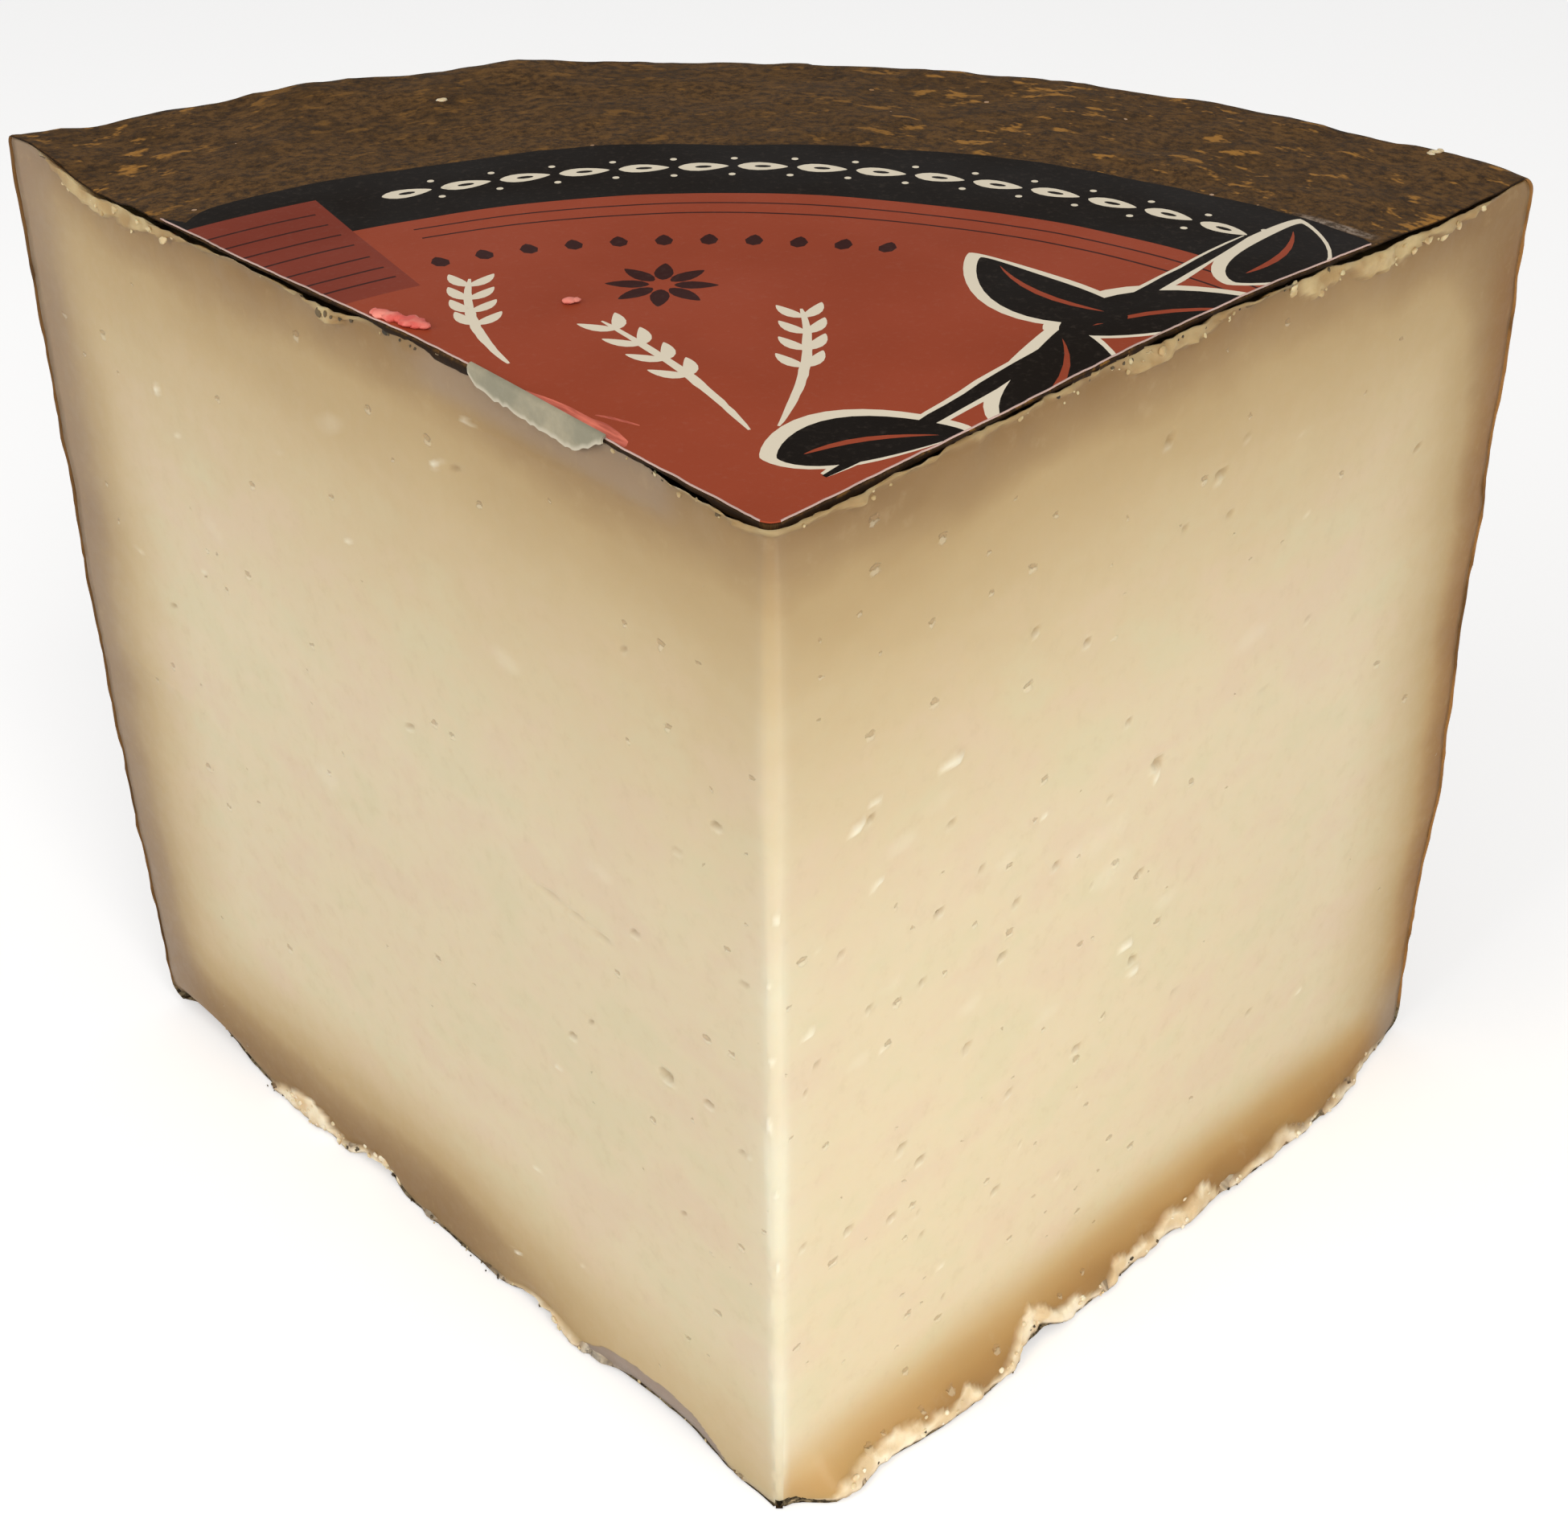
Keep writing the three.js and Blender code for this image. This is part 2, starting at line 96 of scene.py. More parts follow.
# Flakes that the knife pulled up, pale against the face: [distance, height, length, tilt].
flakes = {
    left: ((37, 89.5, 1.6, -0.6), (80, 82, 1.7, -0.9), (77.7, 78, 1.1, -0.3), (50.7, 77.6, 1.2, -0.5),
           (67.5, 72.6, 0.9, 0), (77, 64.8, 1.1, 0.2), (27.8, 34.7, 1.2, 0.2), (32, 19.5, 1.1, 0),
           (36.4, 6, 1.4, 0.2), (89.3, 62.3, 1.4, 0.4), (32.6, 94.4, 1.3, 0.1)),
    right: ((18.3, 71, 2.9, 0), (42.6, 39.8, 2.3, -0.1), (44, 36, 2.1, -0.1), (72.9, 17, 1.5, 0),
            (10, 71.4, 1.9, -0.2), (8.4, 70, 2.1, 0.3), (10.4, 63.5, 1.6, 0.3), (30, 60, 1.1, 0.1),
            (20, 16, 1.2, 0), (44.6, 57, 1.5, 1.2), (4.4, 60.5, 1.2, 0), (3.4, 53, 1.9, 0.4),
            (11.6, 46.5, 1.2, 0.3)),
}
# Faint pale smears of curd that the knife dragged along: [distance, height, length, tilt].
smears = {
    left: ((52, 88, 5, -0.4), (30, 75, 4, 0.1), (60, 50, 6, 0.2), (20, 60, 4, 0), (74, 70, 4, 0.3)),
    right: ((17.6, 68, 4.2, 0.2), (37, 54, 8, 0.1), (40, 50, 7, 0.2), (12.5, 52.5, 3.4, 0.1),
            (22, 45, 3.6, 0), (32, 38, 4.4, 0.2), (9, 47, 3.2, 0.2), (56, 66, 5, 0.1), (13, 66, 3.6, 0),
            (26, 58, 4, 0.1), (48, 42, 4, 0)),
}
# White nicks along the front edge: [height, turn round the edge in radians, half their length].
nicks = (
    (65.6, 0.2, 0.5), (59.4, -0.4, 0.4), (52, -0.3, 0.4), (45.5, -0.4, 0.8), (38, 0, 0.4),
    (30, 0.1, 0.6),
)
nick_half_turn, nick_out, point_unevenness = 0.26, 0.15, 0.1
torn_out = 0.3  # how far a torn strip stands out
# Shares of their own depth or height by which the spots sink in or stand out.
eye_sunk, lip_out, flake_out, smear_out = 0.27, 0.07, 0.12, 0.012
# On the left cut: the step under a slice that the knife lifted, a slit and a dragged ridge, each as
# its stretch along the cut and its height.
peel_span, peel_level, peel_depth = (12, 34), 94.3, 0.12
slit_span, slit_level, slit_middle, slit_slope, slit_depth = (19.6, 29.4), 53.7, 24, 0.12, 0.3
ridge_span, ridge_level, ridge_height = (84, 96), 48, 0.1
# How deep the dark rind shows along the top of each cut: distances from the point, then depths.
rind_line = {
    left: ((2, 12, 16, 30, 33, 36, 39, 42, 45, 48, 52, 56, 60, 98),
           (0.5, 0.35, 0.3, 0.5, 1.0, 0.75, 0.35, 0.6, 0.25, 0.4, 0.3, 0.15, 0.12, 0.2)),
    right: ((2, 14, 20, 34, 44, 56, 64, 67, 92), (0.55, 0.5, 0.35, 0.45, 0.4, 0.5, 0.45, 0.12, 0.2)),
}
# Widths of the torn strips: distances from the point, then the width at each of them.
torn_top = {
    left: ((2, 8, 14, 40, 46, 49.5, 53, 60, 70, 73, 76, 85, 91, 94, 98),
           (0.9, 0.6, 0.3, 0.35, 0.5, 2.2, 0.4, 0.4, 0.7, 1.5, 1.9, 2.1, 1.6, 0.2, 0.1)),
    right: ((2, 6, 20, 34, 36, 40, 45, 48, 56, 58, 62, 63.6, 67, 71, 74, 78, 82, 86, 92),
            (1.2, 1.0, 0.9, 0.9, 1.5, 1.9, 1.3, 0.8, 0.8, 2.2, 2.1, 1.2, 2.6, 2.4, 1.6, 1.4, 0.9, 0.2, 0.1)),
}
torn_bottom = {
    left: ((2, 16, 20, 26, 29, 34, 36, 40, 57, 60, 62.5, 65, 68, 71.5, 75, 80, 98),
           (0.3, 0.1, 0.1, 0.5, 1.2, 1.3, 0.5, 0.3, 0.3, 1.6, 1.3, 0.4, 1.8, 2.8, 2.0, 0.3, 0.2)),
    right: ((2, 4.4, 5.4, 12, 18, 21.5, 23, 25, 27, 31, 34, 36, 38, 41, 43, 47, 49, 54, 57, 59, 62,
             65, 69, 72, 76, 79, 83, 88, 92),
            (0.4, 0.5, 1.9, 2.0, 1.8, 1.7, 0.7, 0.8, 1.8, 2.5, 1.6, 2.0, 0.9, 0.8, 1.8, 2.0, 1.6, 2.2,
             2.0, 0.8, 0.8, 1.1, 1.6, 1.1, 0.6, 1.0, 0.8, 0.8, 0.3)),
}


def smooth(value, low, high):
    """0 at low, 1 at high, and the curve 3t^2 - 2t^3 between them."""
    t = np.clip((value - low) / (high - low), 0, 1)
    return t * t * (3 - 2 * t)


def mix(low, high, share):
    return low + (high - low) * share


def bump(distance, reach):
    """A bell: 1 at distance 0, fading as exp(-(distance / reach)^2)."""
    return np.exp(-((distance / reach) ** 2))


def between(value, low, high, soft):
    return smooth(value, low - soft, low) * (1 - smooth(value, high, high + soft))


def lumps(x, y, z, size):
    """Value noise from -1 to 1: a repeatable random value at each corner of a lattice, blended."""
    at = [np.asarray(value, float) / size for value in np.broadcast_arrays(x, y, z)]
    low = [np.floor(value) for value in at]
    blend = [smooth(value - floor, 0, 1) for value, floor in zip(at, low)]
    total = 0
    for corner in np.ndindex(2, 2, 2):
        weight = 1
        for step, share in zip(corner, blend):
            weight = weight * (share if step else 1 - share)
        i, j, k = (floor + step for floor, step in zip(low, corner))
        wave = np.sin(i * 127.1 + j * 311.7 + k * 74.7) * 43758.5453
        total = total + weight * (2 * (wave - np.floor(wave)) - 1)
    return total


def layered(x, y, z, layers):
    return sum(out * lumps(x, y, z, size) for size, out in layers)


def top_height(x, y):
    """The wheel's top: a tilted plane with a few broad swells and one dip."""
    swells = sum(rise * bump(np.hypot(x - sx, y - sy), reach) for sx, sy, rise, reach in top_swells)
    return height + top_slope[0] * x + top_slope[1] * y + swells


def rind_height(x, y):
    """The top with the rind's lumps, which show only outside the label."""
    bare = smooth(np.hypot(x - wheel_middle_x, y), label_radius + 0.5, label_radius + 5)
    return top_height(x, y) + bare * layered(x, y, top_lumps_level, rind_lumps) * top_lumps


def rounding_inset(radius, depth):
    """How far a rounded edge lies back at a depth below it: r - sqrt(r^2 - (r - depth)^2)."""
    rest = np.clip(radius - depth, 0, None)
    return radius - np.sqrt(np.clip(radius**2 - rest**2, 0, None))


def side_radius(azimuth, z):
    """Radius of the wheel's side about its middle: the circle, its swell, lumps and roundings."""
    toward_right = np.clip((azimuth / half_angle + 1) / 2, 0, 1)
    x, y = wheel_radius * np.sin(azimuth), wheel_radius * np.cos(azimuth)
    depth = np.clip(top_height(x + wheel_middle_x, y) - z, 0, None)
    swell = mix(*side_bulge, toward_right) * (1 - (2 * z / height - 1) ** 2)
    swell = swell + right_flare * toward_right**3 * smooth(flare_from - z, 0, flare_over)
    skew = side_skew * (2 * toward_right - 1) + foot_inset * (1 - z / height)
    rim = rounding_inset(mix(*rim_rounding, toward_right), depth)
    roundings = rim + rounding_inset(foot_rounding, z)
    return wheel_radius - skew + swell + layered(x, y, z, rind_lumps) - roundings


def cut_direction(cut):
    return np.array([cut * np.sin(half_angle), np.cos(half_angle)])


def cut_normal(cut):
    return np.array([cut * np.cos(half_angle), -np.sin(half_angle)])


def corner(cut, z):
    """Where the side meets a cut at a height: (azimuth about the wheel's middle, distance)."""
    azimuth = np.full(np.shape(z), cut * half_angle)
    along = -cut * np.sin(half_angle) * wheel_middle_x
    for _ in range(3):
        radius = side_radius(azimuth, z)
        length = np.sqrt(radius**2 - wheel_middle_x**2 + along**2) - along
        x, y = (part * length for part in cut_direction(cut))
        azimuth = np.arctan2(x - wheel_middle_x, y)
    return azimuth, length


def edge_rise(cut, s):
    """Height of the bottom edge, raised where pieces broke off: a flat-topped bell for each."""
    rises = [rise * bump((s - at) ** 2, half**2) for side, at, half, rise in chips if side == cut]
    return np.maximum.reduce(rises)


def undercut(cut, s, z):
    """1 below a flat-topped bell at the foot of the left cut, where the knife broke a sliver off."""
    rise = undercut_rise * bump((s - undercut_at) ** 2, undercut_half**2)
    rise = rise * (1 + 0.12 * lumps(s, 0, 0, 2.6)) + 0.15 * lumps(s, 0, 0, 0.8)
    return smooth(rise - z, 0, 0.35) * (cut == left)


def cut_relief(cut, s, z, top, x, y):
    """How far a cut stands out: long waves, torn edges, bites over the chips and the foot's burr."""
    depth = top - z
    near_top = bump(depth, crumbly_depth) * smooth(depth, 0.2, 1.3)
    torn = crumbly_out * lumps(x, y, z, crumbly_size) * near_top
    face = layered(x, y, z, cut_waves) + torn - undercut_depth * undercut(cut, s, z)
    rise = edge_rise(cut, s)
    bite = bite_share * rise * bump(np.clip(z - rise, 0, None), bite_reach)
    if cut == left:
        under_flap = between(s, flap_from, flap_to, flat_fade) * between(depth, 0, flat_depth, flat_fade)
        return mix(face, np.minimum(face, 0), under_flap) - bite
    ragged = 0.8 + 0.2 * lumps(x, y, 0, 7)
    along = smooth(s, *burr_rises) * (1 - smooth(s, *burr_fades))
    return face - bite + burr_out * along * ragged * bump(z, burr_reach)


def seeded_eyes(cut):
    """The large openings as listed, and small ones drawn thickest near the point of the wedge."""
    draw = np.random.default_rng(eye_seeds[cut])
    count = small_eyes[cut]
    s = mix(*eye_places, draw.random(count) ** 1.5)
    z = mix(*eye_levels, draw.random(count))
    lengths = mix(*eye_lengths, draw.random(count) ** 2)
    tilts = mix(*eye_tilts, draw.random(count))
    return [*large_eyes[cut], *zip(s, z, lengths, tilts)]


def spots(s, z, places, slimness, wobble, lower=0.0):
    """Small ovals, 1 - (u/a)^2 - (v/b)^2 from the middle of each to its rim, moved down by a share
    of their width: a field from 0 to 1, and the same one in millimetres, deeper in long ovals."""
    field, deep = np.zeros(np.shape(s)), np.zeros(np.shape(s))
    for at, level, length, tilt in places:
        near = (np.abs(s - at) < length) & (np.abs(z - level) < length)
        ds, dz = s[near] - at, z[near] - level
        u = ds * np.cos(tilt) + dz * np.sin(tilt) + 0.5 * lower * slimness * length
        v = dz * np.cos(tilt) - ds * np.sin(tilt) + lower * slimness * length
        oval = 1 - (u / (0.5 * length)) ** 2 - (v / (0.5 * length * slimness)) ** 2
        oval = np.clip(oval + wobble[near], 0, 1)
        field[near] = np.maximum(field[near], oval)
        deep[near] = np.maximum(deep[near], length * np.sqrt(oval))
    return field, deep


def torn_share(widths, s, depth, x, y, z):
    """1 on a torn strip, 0 off it: its width by its distance, made ragged by two noises."""
    width = np.interp(s, *widths)
    ragged = 1 + 0.38 * lumps(x, y, z, 1.9) + 0.22 * lumps(x, y, z, 0.9)
    return smooth(width * ragged - depth, -0.15, 0.3)


def left_details(s, z, torn):
    """Relief of the lifted slice's step, the slit and the dragged ridge on the left cut."""
    step = peel_level + 0.25 * lumps(s, 0, 4, 2.4)
    peel = between(s, *peel_span, 1.5) * smooth(z, step, step + 0.25) * (1 - torn)
    slit = between(s, *slit_span, 1) * bump(z - slit_level - slit_slope * (s - slit_middle), 0.16)
    ridge = between(s, *ridge_span, 2) * bump(z - ridge_level - 1.2 * lumps(s, 0, 0, 7), 0.5)
    return ridge_height * ridge - peel_depth * peel - slit_depth * slit


def cut_face(cut, s, z):
    """Plan place of a point on a cut, and what its finish is there: torn, open, and pale where flaked or
    smeared, with a painted highlight on the openings' lower lips.
    """
    x, y = (part * s for part in cut_direction(cut))
    top = rind_height(x, y)
    upper = torn_share(torn_top[cut], s, top - z, x, y, z)
    lower = torn_share(torn_bottom[cut], s, z - edge_rise(cut, s), x, y, z)
    torn = np.maximum(upper, lower)
    pale = np.maximum(upper * mix(0.4, 0.85, smooth(np.interp(s, *torn_top[cut]), 1.2, 2.4)), lower)
    wobble = 0.35 * lumps(s, z, 0, 0.5) + 0.35 * lumps(s, z, 9, 1.1)
    eyes, eye_depth = spots(s, z, seeded_eyes(cut), eye_slimness, wobble)
    lips, lip_height = spots(s, z, seeded_eyes(cut), eye_slimness, wobble, lip_drop)
    pale_marks_and_lip_highlight, flake_height = spots(s, z, flakes[cut], eye_slimness, wobble)
    smeared, smear_height = spots(s, z, smears[cut], 0.5, 0.6 * lumps(s, z, 0, 1.7))
    # The openings' lower lips are painted paler as a highlight, joined with the real pale flakes and smears.
    pale_marks_and_lip_highlight = np.maximum.reduce([pale_marks_and_lip_highlight, 0.5 * lips * (1 - eyes), 0.22 * smeared])
    off_point = smooth(s, 1.8, 3)
    eyes, eye_depth, lip_height = eyes * off_point, eye_depth * off_point, lip_height * off_point
    relief = cut_relief(cut, s, z, top, x, y)
    clots = 0.5 * lumps(x, y, z, 2.4) + 0.36 * np.abs(lumps(x, y, z, 1.1)) + 0.16 * lumps(x, y, z, 0.6)
    relief = relief + torn * (torn_out + clots) - eye_sunk * eye_depth + lip_out * lip_height * (1 - eyes)
    relief = relief + flake_out * flake_height + smear_out * smear_height
    if cut == left:
        relief = relief + left_details(s, z, torn)
    fade = smooth(corner(cut, z)[1] - s, 0, 2.5)
    return x, y, relief * fade, pale, np.sqrt(eyes), pale_marks_and_lip_highlight


def to_part(x, y, z):
    """From the front edge's frame to the wedge's, with the lean of the wedge."""
    down = 1 - z / height
    return np.stack(np.broadcast_arrays(x + lean[0] * down, y + lean[1] * down + point_y, z), -1)


def stations(start, *stretches):
    """Points along a line: each stretch (end, spacing) carries on from the one before it."""
    points = [start]
    for end, spacing in stretches:
        count = max(int(round((end - start) / spacing)), 1)
        points.extend(np.linspace(start, end, count + 1)[1:])
        start = end
    return np.array(points)


def grid_faces(rows, columns, closed=True):
    """Quads of a grid, whose last column joins its first where it is closed."""
    index = np.arange(rows * columns).reshape(rows, columns)
    if closed:
        index = np.hstack([index, index[:, :1]])
    return np.stack([index[:-1, :-1], index[:-1, 1:], index[1:, 1:], index[1:, :-1]], -1).reshape(-1, 4)


def mesh_piece(name, places, faces, attributes=()):
    """A smooth mesh from places in millimetres, with a value or a vector kept at each vertex."""
    mesh = bpy.data.meshes.new(name)
    mesh.from_pydata(np.reshape(places, (-1, 3)) * 0.001, [], [list(face) for face in faces])
    mesh.polygons.foreach_set("use_smooth", np.ones(len(mesh.polygons), bool))
    for key, values in dict(attributes).items():
        values = np.asarray(values, np.float32)
        is_vector = values.shape[-1] == 3 and values.size == 3 * len(mesh.vertices)
        layer = mesh.attributes.new(key, "FLOAT_VECTOR" if is_vector else "FLOAT", "POINT")
        layer.data.foreach_set("vector" if is_vector else "value", values.ravel())
    piece = bpy.data.objects.new(name, mesh)
    bpy.context.scene.collection.objects.link(piece)
    return piece


edge_start = point_radius / np.tan(half_angle)  # where the cuts leave the rounded point
corner_gap = 0.5  # how far short of the side the cuts stop
side_gap = 0.6  # how far inside the rind the back of the paste lies
# The top and the foot of the paste, hidden by the rind, sink in towards their middles: the depth of
# each middle, and of a ring that lies this share of the way to it.
hidden_depth, ring_share, ring_depth = 4.0, 0.06, 2.5
# Spacing of the columns on each cut: closer up to a distance from the point, then wider.
column_spacing = {left: ((30, 0.5), 0.85), right: ((50, 0.36), 0.7)}


def cut_block(cut, levels):
    """A cut as a grid, in columns from the point to the side, and the relief beside the point."""
    fine, wide = column_spacing[cut]
    end = corner(cut, height / 2)[1] - corner_gap
    s = stations(edge_start, fine, (end, wide))[None, :] + 0 * levels
    x, y = (part * s for part in cut_direction(cut))
    z = mix(edge_rise(cut, s) + skin, rind_height(x, y) - skin, levels)
    share = (s - edge_start) / (end - edge_start)
    s = edge_start + share * (corner(cut, z)[1] - corner_gap - edge_start)
    x, y, relief, torn, eyes, pale_marks_and_lip_highlight = cut_face(cut, s, z)
    nx, ny = cut_normal(cut)
    block = {
        "x": x + nx * relief, "y": y + ny * relief, "z": z,
        "finish": np.stack([torn, eyes, pale_marks_and_lip_highlight], -1),
        "across": np.stack([cut * s, z, 0 * z], -1),
        "from_side": corner(cut, z)[1] - s,
    }
    return block, relief[:, :1]


def point_block(levels, reliefs, finishes):
    """The rounded front edge between the two cuts, uneven and nicked."""
    turns = np.linspace(-1, 1, 11)[1:-1] * (np.pi / 2 - half_angle)
    turn = turns[None, :] + 0 * levels
    share = smooth(turn, turns[0], turns[-1])
    rise = mix(edge_rise(left, edge_start), edge_rise(right, edge_start), share) + skin
    z = mix(rise, rind_height(0, edge_start) - skin, levels)
    nicked = 0 * z
    for at, middle, size in nicks:
        away = np.hypot((z - at) / size, (turn - middle) / nick_half_turn)
        nicked = np.maximum(nicked, smooth(1.1 + 0.5 * lumps(turn * 3, at, z, 0.7) - away, 0, 0.5))
    uneven = point_unevenness * lumps(turn, 0, z, 1.3) * smooth(75 - z, 0, 30)
    relief = mix(*reliefs, share) + uneven + nick_out * nicked
    out = point_radius + relief
    finish = mix(*finishes, share[..., None])
    finish[..., 2] = np.maximum(finish[..., 2], 0.8 * nicked)
    return {
        "x": np.sin(turn) * out, "y": point_radius / np.sin(half_angle) - np.cos(turn) * out, "z": z,
        "finish": finish, "across": np.stack([0 * z, z, 0 * z], -1), "from_side": 0 * z + 90,
    }


def side_block(levels):
    """The back of the paste, just inside the rind."""
    ends = [corner(cut, height / 2)[0] for cut in (right, left)]
    azimuth = np.linspace(*ends, 22)[None, 1:-1] + 0 * levels
    z = mix(skin, height - skin, levels) + 0 * azimuth
    for _ in range(2):
        radius = side_radius(azimuth, z) - side_gap
        x, y = wheel_middle_x + radius * np.sin(azimuth), radius * np.cos(azimuth)
        z = mix(skin, rind_height(x, y) - skin, levels)
    none = np.zeros((*z.shape, 3))
    return {"x": x, "y": y, "z": z, "finish": none, "across": none, "from_side": 0 * z}


def rind_distance(depth, above, from_side, reach, on_right):
    """Distance from the rind: -b log of the sum of exp(-d / b) over the distances d to the top, the
    side and the foot, each bent so that its brown band is as wide as on that cut."""
    start = np.where(on_right, mix(9, 3.5, smooth(reach, 2, 20)), mix(12, -1, smooth(reach, 10, 50)))
    bent = np.where(on_right, 0.3 * above + 0.3 * above**2, 0.05 * above + 0.09 * above**2)
    widened = 0.8 + on_right * (0.5 * smooth(75 - above, 0, 30) - 0.25 * smooth(above, 65, 85))
    ways = (depth, widened * from_side + 0.05 * from_side**2, start + bent)
    return -rind_blend * np.log(sum(np.exp(-way / rind_blend) for way in ways))


def paste_values(x, y, z, finish, across, from_side):
    """What the paste's material reads at each vertex: distance from the rind, tones and masks."""
    depth = np.clip(rind_height(x, y) - z, 0, None)
    above = np.clip(z, 0, None)
    reach = np.abs(across[..., 0])
    on_right = across[..., 0] > 0
    lifted = 0.9 * between(reach, 12, 36, 4) * smooth(depth, 4.6, 2.8)
    foot_corner = (1 - smooth(from_side, 2, 9)) * (1 - smooth(above, 4, 12))
    near_side = (1 - smooth(from_side, 0.5, 7)) * (1 - smooth(z, 88, 96))
    warm = np.maximum(near_side, 1 - smooth(above, 2, 8)) * (1 - foot_corner)
    # Painted highlight along the rounded front edge: a narrow pale line with a soft halo, stronger lower
    # down.
    off_edge = np.clip(reach - point_radius, 0, None)
    painted_edge_highlight = 0.3 * bump(off_edge, 2.6) + 0.7 * bump(off_edge, 0.45)
    return {
        "to_rind": rind_distance(depth, above, from_side, reach, on_right),
        "grey": np.where(on_right, foot_corner, np.maximum(1 - smooth(from_side, 1, 12), lifted)),
        "warm": np.where(on_right, warm, 0),
        "painted_edge_highlight": painted_edge_highlight * mix(0.4, 1, smooth(72 - z, 0, 18)),
        "hollow": np.where(on_right, 0, undercut(left, reach, z)) * (from_side > 1),
        "torn": finish[..., 0], "open": finish[..., 1], "pale_marks_and_lip_highlight": finish[..., 2], "across": across,
    }


def paste_mesh():
    """The wedge as rows of its outline: down the left cut, round the point, up the right cut and
    back behind the rind. Each row lies at one share of the height between bottom and top edge."""
    levels = stations(0, (6, 0.24), (height - 6, 0.43), (height, 0.24))[:, None] / height
    left_cut, left_relief = cut_block(left, levels)
    right_cut, right_relief = cut_block(right, levels)
    finishes = [cut["finish"][:, :1] for cut in (left_cut, right_cut)]
    point = point_block(levels, (left_relief, right_relief), finishes)
    left_cut = {key: value[:, ::-1] for key, value in left_cut.items()}
    blocks = (left_cut, point, right_cut, side_block(levels))
    grid = {key: np.concatenate([block[key] for block in blocks], 1) for key in point}
    places = to_part(grid["x"], grid["y"], grid["z"])
    middles = [to_part(0, -point_y, z) for z in (hidden_depth, height - hidden_depth)]
    rings = [mix(places[end], middle, ring_share) for end, middle in zip((0, -1), middles)]
    rings[0][:, 2], rings[1][:, 2] = places[0, :, 2] + ring_depth, places[-1, :, 2] - ring_depth
    places = np.concatenate([rings[:1], places, rings[1:]])
    rows, columns = places.shape[:2]
    ring = np.arange(columns)
    bottom = np.stack([np.roll(ring, -1), ring, np.full(columns, rows * columns)], -1)
    top = (rows - 1) * columns + ring
    top = np.stack([top, np.roll(top, -1), np.full(columns, rows * columns + 1)], -1)
    faces = [*grid_faces(rows, columns), *bottom, *top]
    attributes = {}
    for key, value in paste_values(**grid).items():
        value = np.concatenate([value[:1], value, value[-1:]]).reshape(rows * columns, -1)
        attributes[key] = np.vstack([value, np.zeros((2, value.shape[1]))])
    return mesh_piece("paste", np.vstack([places.reshape(-1, 3), middles]), faces, attributes)


def tone(red, green, blue):
    """A screen colour, 0 to 255, as the light it stands for."""
    screen = np.array([red, green, blue]) / 255
    light = np.where(screen < 0.04045, screen / 12.92, ((screen + 0.055) / 1.055) ** 2.4)
    return (*light, 1.0)


def add(tree, kind, inputs=(), **settings):
    """A shader node; each input takes a number, a colour or another node's output."""
    made = tree.nodes.new("ShaderNode" + kind)
    for name, value in settings.items():
        setattr(made, name, value)
    for key, value in dict(inputs).items():
        if isinstance(value, bpy.types.NodeSocket):
            tree.links.new(value, made.inputs[key])
        else:
            made.inputs[key].default_value = value
    return made


def calculate(tree, operation, first, second=0.0):
    return add(tree, "Math", {0: first, 1: second}, operation=operation).outputs[0]


def times(tree, first, second):
    return calculate(tree, "MULTIPLY", first, second)


def on_vector(tree, operation, first, second):
    return add(tree, "VectorMath", {0: first, 1: second}, operation=operation).outputs[0]


def axis(tree, vector, number):
    """One of a vector's three numbers."""
    return add(tree, "SeparateXYZ", {0: vector}).outputs[number]


def turned_about(tree, vector, angles, scale=(1, 1, 1)):
    """Coordinates turned by three angles in radians, after each axis is scaled."""
    return add(tree, "Mapping", {"Vector": vector, "Rotation": angles, "Scale": scale}).outputs[0]


def spread(tree, value, low, high, to_low=0.0, to_high=1.0):
    """Maps low..high to to_low..to_high along a smooth step."""
    inputs = {"Value": value, "From Min": low, "From Max": high, "To Min": to_low, "To Max": to_high}
    return add(tree, "MapRange", inputs, interpolation_type="SMOOTHSTEP").outputs[0]


def blend(tree, factor, first, second, mode="MIX"):
    inputs = {0: factor, 6: first, 7: second}
    return add(tree, "Mix", inputs, data_type="RGBA", blend_type=mode).outputs[2]


def coats(tree, colour, *layers):
    """Lays screen colours over a colour in turn: each is (mask, (red, green, blue))."""
    for mask, screen in layers:
        colour = blend(tree, mask, colour, tone(*screen))
    return colour


def kept(tree, name, kind="Fac"):
    """What the mesh keeps at each vertex under a name."""
    return add(tree, "Attribute", attribute_name=name).outputs[kind]


def noise(tree, vector, size, detail, rough=0.55):
    """Noise from 0 to 1 whose lumps measure about size millimetres, on coordinates in metres."""
    inputs = {"Vector": vector, "Scale": 600.0 / size, "Detail": detail, "Roughness": rough}
    return add(tree, "TexNoise", inputs).outputs[0]


def new_group(name, inputs, outputs):
    """A node group with named inputs and outputs; each is (name, socket kind, default)."""
    group = bpy.data.node_groups.new(name, "ShaderNodeTree")
    for label, kind, default in inputs:
        socket = group.interface.new_socket(label, in_out="INPUT", socket_type="NodeSocket" + kind)
        if default is not None:
            socket.default_value = default
    for label, kind in outputs:
        group.interface.new_socket(label, in_out="OUTPUT", socket_type="NodeSocket" + kind)
    return group, group.nodes.new("NodeGroupInput").outputs, group.nodes.new("NodeGroupOutput").inputs


def crumb_grain_group():
    """Grain of broken curd: soft clots with finer grit on them, as a mask and as a height."""
    group, given, result = new_group(
        "crumb grain",
        [("Vector", "Vector", None), ("Clot", "Float", 1.0), ("Grit", "Float", 0.3)],
        [("Mask", "Float"), ("Height", "Float")],
    )
    scaled = []
    for key in ("Clot", "Grit"):
        scale = calculate(group, "DIVIDE", 600.0, given[key])
        inputs = {"Vector": given["Vector"], "Scale": scale, "Detail": 2.0}
        scaled.append(add(group, "TexNoise", inputs).outputs[0])
    relief = calculate(group, "ADD", scaled[0], times(group, scaled[1], 0.45))
    group.links.new(spread(group, scaled[0], 0.35, 0.68), result["Mask"])
    group.links.new(relief, result["Height"])
    return group


crumb_grain = crumb_grain_group()


